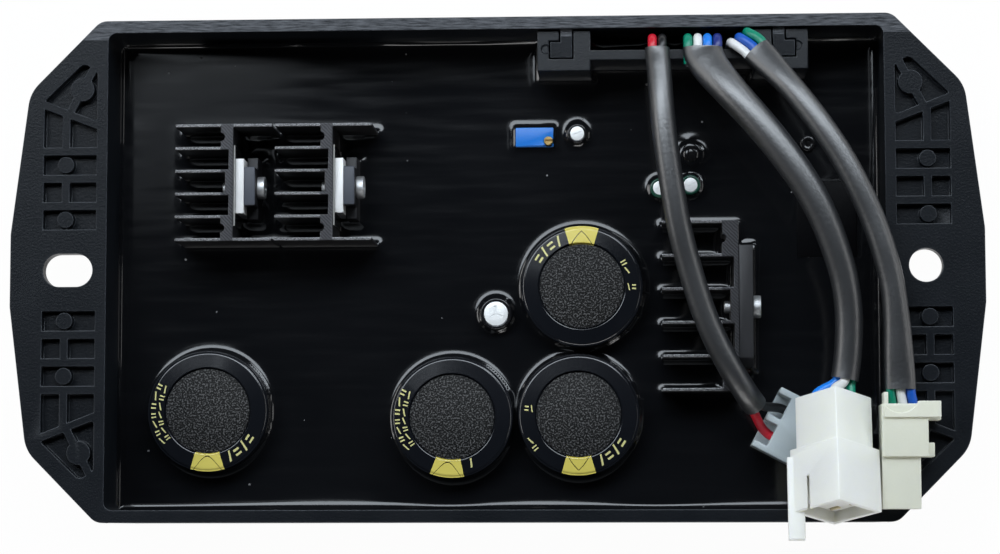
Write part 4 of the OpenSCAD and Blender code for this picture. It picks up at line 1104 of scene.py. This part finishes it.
for i, (at, film, slot) in enumerate(signal_caps, 1):
    sleeve = film_sleeve(f"signal_sleeve_{i}", at, SIGNAL_R, 11.6, SIGNAL_TOP,
                         shoulder=0.4, hole=3.7, drop=0.2, steps=4)
    finish_piece(sleeve, film, f"signal_capacitor_{i}_sleeve")
    lid = scored_lid(f"signal_lid_{i}", at, 1.82, 21.2, 22.55, grooves=(20, 200), groove_w=0.3)
    finish_piece(lid, can_metal, f"signal_capacitor_{i}_can")
print("small capacitors:", 1 + len(signal_caps))

# %% [markdown]
# Three more parts stand just out of the resin: a dipped capacitor, which is a drop of black resin, a small
# ring-topped one, and the flat top of a box-shaped film capacitor. The drop is a cylinder whose upper edge
# is bevelled so far that it becomes a dome.

# %% Other parts in the resin
drop_at, DROP_R, DROP_TOP = (48.6, 29.8), 2.7, 21.8
ring_at, RING_R, RING_TOP = (77.8, 32.3), 2.0, 21.0
drop = add_cylinder("dipped_drop", drop_at, DROP_R, CAP_FOOT, DROP_TOP, 64)
smooth(bevel_lid(drop, DROP_TOP, offset=2.2, segments=12), 50)
finish_piece(drop, dipped_skin, "dipped_capacitor")
ring = film_sleeve("ring_top", ring_at, RING_R, CAP_FOOT, RING_TOP,
                   shoulder=0.5, hole=2.0, drop=0.45, steps=4)
finish_piece(ring, dipped_skin, "ring_capacitor")
softened("film_capacitor", "box_top", box_skin, 0.35, 3)
print("other parts dressed")

# %% [markdown]
# The trimmer is a bright blue box, and its brass screw sits in a bore near one corner. The screw is the one
# thing that turns, so it rides on the adjuster and the box on the regulator.

# %% Trimmer
trimmer_blue = finish_of("trimmer blue", (0.006, 0.14, 0.56), (0.012, 0.21, 0.72), rough=(0.28, 0.4),
                         scale=3000.0)
softened("trimmer_case", "trimmer_box", trimmer_blue, 0.25, 3)
softened("trimmer_screw", "brass_screw", adjuster_brass, 0.08, 2, body="adjuster")
print("trimmer dressed")

# %% [markdown]
# The connectors are moulded from natural nylon, which is milky and lets some light through. Two of them get
# what the solids leave out: a slit beside the latch and a block of cells in the mouth of the four-way one,
# and on the three-way one a lip with a round scoop over the wires and a small tab beside it.

# %% Connectors
HOLE_W, HOLE_H = 3.1, 2.0


def place_block(low, high, at, turns):
    """A block made in a connector's own frame and moved to its place; turns are (degrees, axis) pairs."""
    block = add_block("detail", low, high)
    matrix = Matrix.Translation(Vector(at) * MM)
    for degrees, axis in turns:
        matrix = matrix @ Matrix.Rotation(math.radians(degrees), 4, axis)
    block.matrix_world = matrix
    return at_origin(block)


four_turns = [(-90, "Z"), (-FOUR_TILT, "Y")]
cell_turns = four_turns + [(45, "X")]
four_at = tuple(four_back)
plug_2 = copied("connector_2_housing", "plug_2")
combine(plug_2, place_block((20.6, -6.95, 1), (29.5, -6.45, 9), four_at, four_turns), "DIFFERENCE")
cells = place_block((16, -4.9, -4.9), (26.4, 4.9, 4.9), four_at, cell_turns)
for across in (-FOUR_CELL, FOUR_CELL):
    for up in (-FOUR_CELL, FOUR_CELL):
        hole = place_block((19, across - HOLE_W / 2, up - HOLE_H / 2),
                           (27, across + HOLE_W / 2, up + HOLE_H / 2), four_at, cell_turns)
        combine(cells, hole, "DIFFERENCE")
combine(plug_2, cells, "UNION")
finish_piece(rounded(plug_2, 0.3, 3), white_nylon, "connector_2_housing")
three_at = (98.5, -34, 43.05)
plug_3 = rounded(copied("connector_3_housing", "plug_3"), 0.25, 3)
lip = place_block((-0.6, -5.0, 3.6), (3.3, 8.5, 5.7), three_at, [(-90, "Z")])
scoop = add_cylinder("scoop", (97.4, -31.6), 4.6, 44, 52, 48)
combine(lip, scoop, "DIFFERENCE")
combine(plug_3, rounded(lip, 0.2), "UNION")
tab = place_block((-2.8, -5.0, -1), (0.8, -3.9, 4.6), three_at, [(-90, "Z")])
combine(plug_3, rounded(tab, 0.2), "UNION")
finish_piece(smooth(plug_3, 20), cream_nylon, "connector_3_housing")
plug_1 = softened("connector_1_housing", "plug_1", clear_nylon, 0.35, 3)
for i in (1, 2, 3):
    softened(f"connector_{i}_terminals", f"plug_pins_{i}", terminal_metal, 0.12)

# %% [markdown]
# The resin was poured in as a liquid. It crept up every wall and part a little before it set, and that
# curved edge is what shines in the dark. It is modelled as a fine grid whose height rises near each
# footprint: how far it rises, and how far out that reaches, differ from part to part.

# %% Footprints in the resin
RESIN_TOP = 20.0
FINS, FIN_T = 6, 0.8
# Rise and reach of the resin at the heat sinks
SINK_EDGE = (0.9, 0.8)


def round_print(at, radius, rise, reach):
    return ("round", at, radius, rise, reach)


def block_print(x0, x1, y0, y1, rise=1.2, reach=1.0):
    return ("block", ((x0 + x1) / 2, (y0 + y1) / 2), ((x1 - x0) / 2, (y1 - y0) / 2), rise, reach)


def node_print(node, rise, reach):
    """The footprint of a solid with upright walls."""
    low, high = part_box(node)
    return block_print(low[0] / MM, high[0] / MM, low[1] / MM, high[1] / MM, rise, reach)


def sink_prints(face, middle, width, fin, flange, walls):
    """The fins and the wall of one heat sink."""
    pitch = (width - FIN_T) / (FINS - 1)
    prints = []
    for i in range(FINS):
        y = middle + (i - (FINS - 1) / 2) * pitch
        out = flange if i in (0, FINS - 1) else 0
        prints.append(block_print(face - fin, face + out, y - FIN_T / 2, y + FIN_T / 2, *SINK_EDGE))
    for i, wall in enumerate(walls):
        y = middle + (i - 2) * pitch
        prints.append(block_print(face - wall, face, y - pitch / 2, y + pitch / 2, *SINK_EDGE))
    return prints


print("resin level, mm:", RESIN_TOP)

# %% [markdown]
# Now every part that stands in the resin leaves its footprint there: capacitors, trimmer, heat sinks with
# the devices on them, the guide and the wires.

# %% List of footprints
DEVICE_OUT, DEVICE_Y = 5.1, (13.2, 28.8)
GUIDE_ENDS, GUIDE_FOOT = (10.8, 77.2), 13.1
GUIDE_Y, GUIDE_BAR_Y = (48.6, 58.6), (51.2, 53.7)
footprints = [round_print(cap[0], MAIN_R, 1.2, 0.75) for cap in main_caps]
footprints += [round_print(filter_at, FILTER_R, 1.3, 0.8)]
footprints += [round_print(at, SIGNAL_R, 1.1, 0.65) for at, _, _ in signal_caps]
footprints += [round_print(ring_at, RING_R, 0.06, 0.4), round_print(drop_at, DROP_R, 1.1, 1.2)]
footprints += [node_print("film_capacitor", 0.15, 0.7), node_print("trimmer_case", 1.0, 0.75)]
for side in ("left", "middle"):
    face, wall = SINKS[side]
    footprints += sink_prints(face, middle=21.6, width=29.1, fin=14.4, flange=9.6,
                              walls=(wall, 1.15, 2, 1.15, wall))
    footprints += [block_print(face, face + DEVICE_OUT, *DEVICE_Y, 1.0, 0.9)]
face, wall = SINKS["right"]
footprints += sink_prints(face, middle=-9, width=42.1, fin=18.8, flange=0,
                          walls=(wall, 1.15, 2, 1.15, wall))
footprints += [node_print("rectifier_case", 1.3, 1.2)]
footprints += [block_print(GUIDE_ENDS[0], GUIDE_ENDS[0] + GUIDE_FOOT, *GUIDE_Y),
               block_print(GUIDE_ENDS[1] - GUIDE_FOOT, GUIDE_ENDS[1], *GUIDE_Y),
               block_print(*GUIDE_ENDS, *GUIDE_BAR_Y)]
wire_lines = [root_line(route_1, i, 2) for i in range(2)]
wire_lines += [root_line(route_2, i, 4) for i in range(4)]
wire_lines += [turned_root_line(i) for i in range(3)]
footprints += [round_print((line[0].x, line[0].y), WIRE_R, 0.9, 0.7) for line in wire_lines]
print("footprints in the resin:", len(footprints))

# %% [markdown]
# The grid is a primitive with a point about every half millimetre. Its corners are pulled in to the round
# corners of the tray. Its points are lifted by the creep at the walls and footprints, with a faint
# unevenness from the pouring. The edge at the walls is wider in some places than in others.

# %% Resin surface
GRID_X, GRID_Y = 380, 234
CORNER_R = 2.0
WALL_RISE = 1.5


def creep(points):
    """How far the resin rises at each point, in millimetres."""
    x, y = points[:, 0], points[:, 1]
    wall = np.minimum(HALF_X - np.abs(x), HALF_Y - np.abs(y))
    wall_reach = 0.8 + 0.4 * np.sin(x / 13.0 + 1.7 * np.sin(x / 31.0))
    rise = WALL_RISE * np.exp(-np.maximum(wall, 0) / wall_reach)
    for form, at, size, height, reach in footprints:
        if form == "round":
            away = np.hypot(x - at[0], y - at[1]) - size
        else:
            dx, dy = np.abs(x - at[0]) - size[0], np.abs(y - at[1]) - size[1]
            away = np.hypot(np.maximum(dx, 0), np.maximum(dy, 0)) + np.minimum(np.maximum(dx, dy), 0)
        rise = np.maximum(rise, height * np.exp(-np.maximum(away, 0) / reach))
    long_ripple = 0.05 * np.sin(x / 9.0 + 1.3 * np.sin(y / 14.0))
    cross_ripple = 0.04 * np.sin(y / 7.5 + 1.1 * np.sin(x / 17.0))
    return rise + (long_ripple + cross_ripple)


bpy.ops.object.select_all(action="DESELECT")
bpy.ops.mesh.primitive_grid_add(x_subdivisions=GRID_X, y_subdivisions=GRID_Y, size=1,
                                location=(0, 0, RESIN_TOP * MM))
resin = bpy.context.active_object
resin.name = "resin"
resin.scale = (2 * HALF_X * MM, 2 * HALF_Y * MM, 1)
at_origin(resin)
flat = np.zeros(len(resin.data.vertices) * 3)
resin.data.vertices.foreach_get("co", flat)
flat = flat.reshape(-1, 3) / MM
inside = np.array([HALF_X - CORNER_R, HALF_Y - CORNER_R])
over = np.abs(flat[:, :2]) - inside
reach = np.hypot(np.maximum(over[:, 0], 0), np.maximum(over[:, 1], 0))
far = (over[:, 0] > 0) & (over[:, 1] > 0) & (reach > CORNER_R)
flat[far, :2] = np.sign(flat[far, :2]) * (inside + over[far] * (CORNER_R / reach[far])[:, None])
flat[:, 2] = RESIN_TOP + creep(flat)
resin.data.vertices.foreach_set("co", (flat * MM).ravel())
resin.data.update()
print("resin, lowest and highest, mm:", round(flat[:, 2].min(), 2), round(flat[:, 2].max(), 2))

# %% [markdown]
# The rim of the grid is extruded down by a few millimetres, closed and made level, so that the resin is a
# solid slab. What lies deeper is never seen.

# %% Resin slab
SLAB_DEPTH = 0.004
only(resin)
bpy.ops.object.mode_set(mode="EDIT")
bpy.ops.mesh.select_mode(type="EDGE")
bpy.ops.mesh.select_all(action="DESELECT")
bpy.ops.mesh.select_non_manifold()
bpy.ops.mesh.extrude_region_move(TRANSFORM_OT_translate={"value": (0, 0, -SLAB_DEPTH)})
bpy.ops.mesh.edge_face_add()
bpy.ops.transform.resize(value=(1, 1, 0))
done(resin)
smooth(resin, 50)
print("resin faces:", len(resin.data.polygons))

# %% [markdown]
# The set resin is nearly black and as glossy as glass, with a few specks of dust on it. Its gloss is a
# little uneven, in long streaks from the pouring.

# %% Resin finish
def poured_black(name):
    material, tree, shader = start_material(name)
    grain = place_group(tree, grain_group, Scale=700.0)
    dust = place_group(tree, speck_group, Scale=230.0, Size=0.075)
    black = blend_colour(tree, grain.outputs["Shade"], (0.003, 0.0033, 0.004), (0.0075, 0.008, 0.0095))
    tree.links.new(blend_colour(tree, dust.outputs["Mask"], black, (0.16, 0.16, 0.16)),
                   shader.inputs["Base Color"])
    streaks = place_group(tree, streak_group, Along_X=40.0, Along_Y=420.0, Along_Z=1.0, Detail=4.0)
    haze = spread(tree, streaks.outputs["Mask"], 0.0, 0.24)
    tree.links.new(math_node(tree, "ADD", haze, math_node(tree, "MULTIPLY", dust.outputs["Mask"], 0.5)),
                   shader.inputs["Roughness"])
    add_bump(tree, shader, grain.outputs["Shade"], 0.00006, 0.4)
    return material


finish_piece(resin, poured_black("poured black resin"), "potting_compound")
print("resin dressed")

# %% [markdown]
# The photograph shows all three cables from end to end, so the length along each sleeve is the real one.

# %% [markdown]
# A pale floor lies under the tray. To the camera and in reflections it is white, as in the photograph, and
# a part of its own shading stays, so that the tray still throws a shadow on it.

# %% Floor
FLOOR_WHITE = 0.97
bpy.ops.object.select_all(action="DESELECT")
bpy.ops.mesh.primitive_plane_add(size=8, location=(0, 0, -0.0002))
floor = bpy.context.active_object
floor.name = "studio_floor"
floor_skin, floor_tree, floor_shader = start_material("pale floor")
floor_shader.inputs["Base Color"].default_value = (0.94, 0.94, 0.94, 1)
floor_shader.inputs["Roughness"].default_value = 0.9
paths = floor_tree.nodes.new("ShaderNodeLightPath")
seen = math_node(floor_tree, "ADD", paths.outputs["Is Camera Ray"], paths.outputs["Is Transmission Ray"])
seen = math_node(floor_tree, "ADD", seen, paths.outputs["Is Glossy Ray"], clamp=True)
white = floor_tree.nodes.new("ShaderNodeEmission")
white.inputs["Strength"].default_value = 1.0
mix = floor_tree.nodes.new("ShaderNodeMixShader")
floor_tree.links.new(math_node(floor_tree, "MULTIPLY", seen, FLOOR_WHITE), mix.inputs[0])
floor_tree.links.new(floor_shader.outputs[0], mix.inputs[1])
floor_tree.links.new(white.outputs[0], mix.inputs[2])
floor_tree.links.new(mix.outputs[0], floor_tree.nodes["Material Output"].inputs["Surface"])
floor.data.materials.append(floor_skin)
print("floor:", floor.name)

# %% [markdown]
# Soft light comes from five panels round the tray, and only a faint one hangs high above it: a glossy flat
# sheet of resin mirrors what is overhead, so it stays black, while every curved edge finds a panel to
# mirror. The panel at the back is the strongest, and it and the one in the back corner are a little cool.

# %% Light
COOL = (0.84, 0.92, 1.0)
LOOK_AT = Vector((0, 0, 0.02))


def add_panel(name, place, size, power, tint=(1, 1, 1)):
    """A soft panel in metres and watts that looks at the tray."""
    light = bpy.data.lights.new(name, "AREA")
    light.shape = "RECTANGLE"
    light.size, light.size_y = size
    light.energy = power
    light.color = tint
    panel = bpy.data.objects.new(name, light)
    panel.location = place
    panel.rotation_euler = (LOOK_AT - Vector(place)).to_track_quat("-Z", "Y").to_euler()
    bpy.context.collection.objects.link(panel)
    return panel


panels = [
    add_panel("panel_back", (-0.08, 0.43, 0.74), (1.15, 0.32), 8.0, COOL),
    add_panel("panel_front", (0.1, -0.9, 0.4), (1.1, 0.16), 2.8),
    add_panel("panel_left", (-0.9, 0.1, 0.42), (0.8, 0.18), 2.2),
    add_panel("panel_right", (0.95, 0.0, 0.42), (0.8, 0.18), 1.0),
    add_panel("panel_corner", (0.62, 0.66, 0.5), (0.55, 0.2), 2.8, COOL),
    add_panel("panel_top", (-0.2, 0.235, 1.0), (0.24, 0.04), 0.03, COOL),
]
print("panels:", len(panels))

# %% [markdown]
# The world keeps its dark grey and glows only faintly, more towards the horizon than overhead, because the
# resin mirrors it and has to stay black. In the picture the floor fills the view, so the white behind the
# tray is the floor's.

# %% Surroundings
HORIZON_GLOW, OVERHEAD_GLOW = 0.42, 0.03
world = bpy.data.worlds.new("studio")
bpy.context.scene.world = world
world.use_nodes = True
sky = world.node_tree
backdrop = sky.nodes["Background"]
sky_place = sky.nodes.new("ShaderNodeTexCoord")
sky_split = sky.nodes.new("ShaderNodeSeparateXYZ")
sky.links.new(sky_place.outputs["Generated"], sky_split.inputs[0])
low_sky = math_node(sky, "SUBTRACT", 1.0, math_node(sky, "ABSOLUTE", sky_split.outputs[2]), clamp=True)
glow = math_node(sky, "ADD", math_node(sky, "MULTIPLY", low_sky, HORIZON_GLOW), OVERHEAD_GLOW)
sky_paths = sky.nodes.new("ShaderNodeLightPath")
level = math_node(sky, "MAXIMUM", glow, sky_paths.outputs["Is Camera Ray"])
sky.links.new(level, backdrop.inputs["Strength"])
print("world:", world.name)
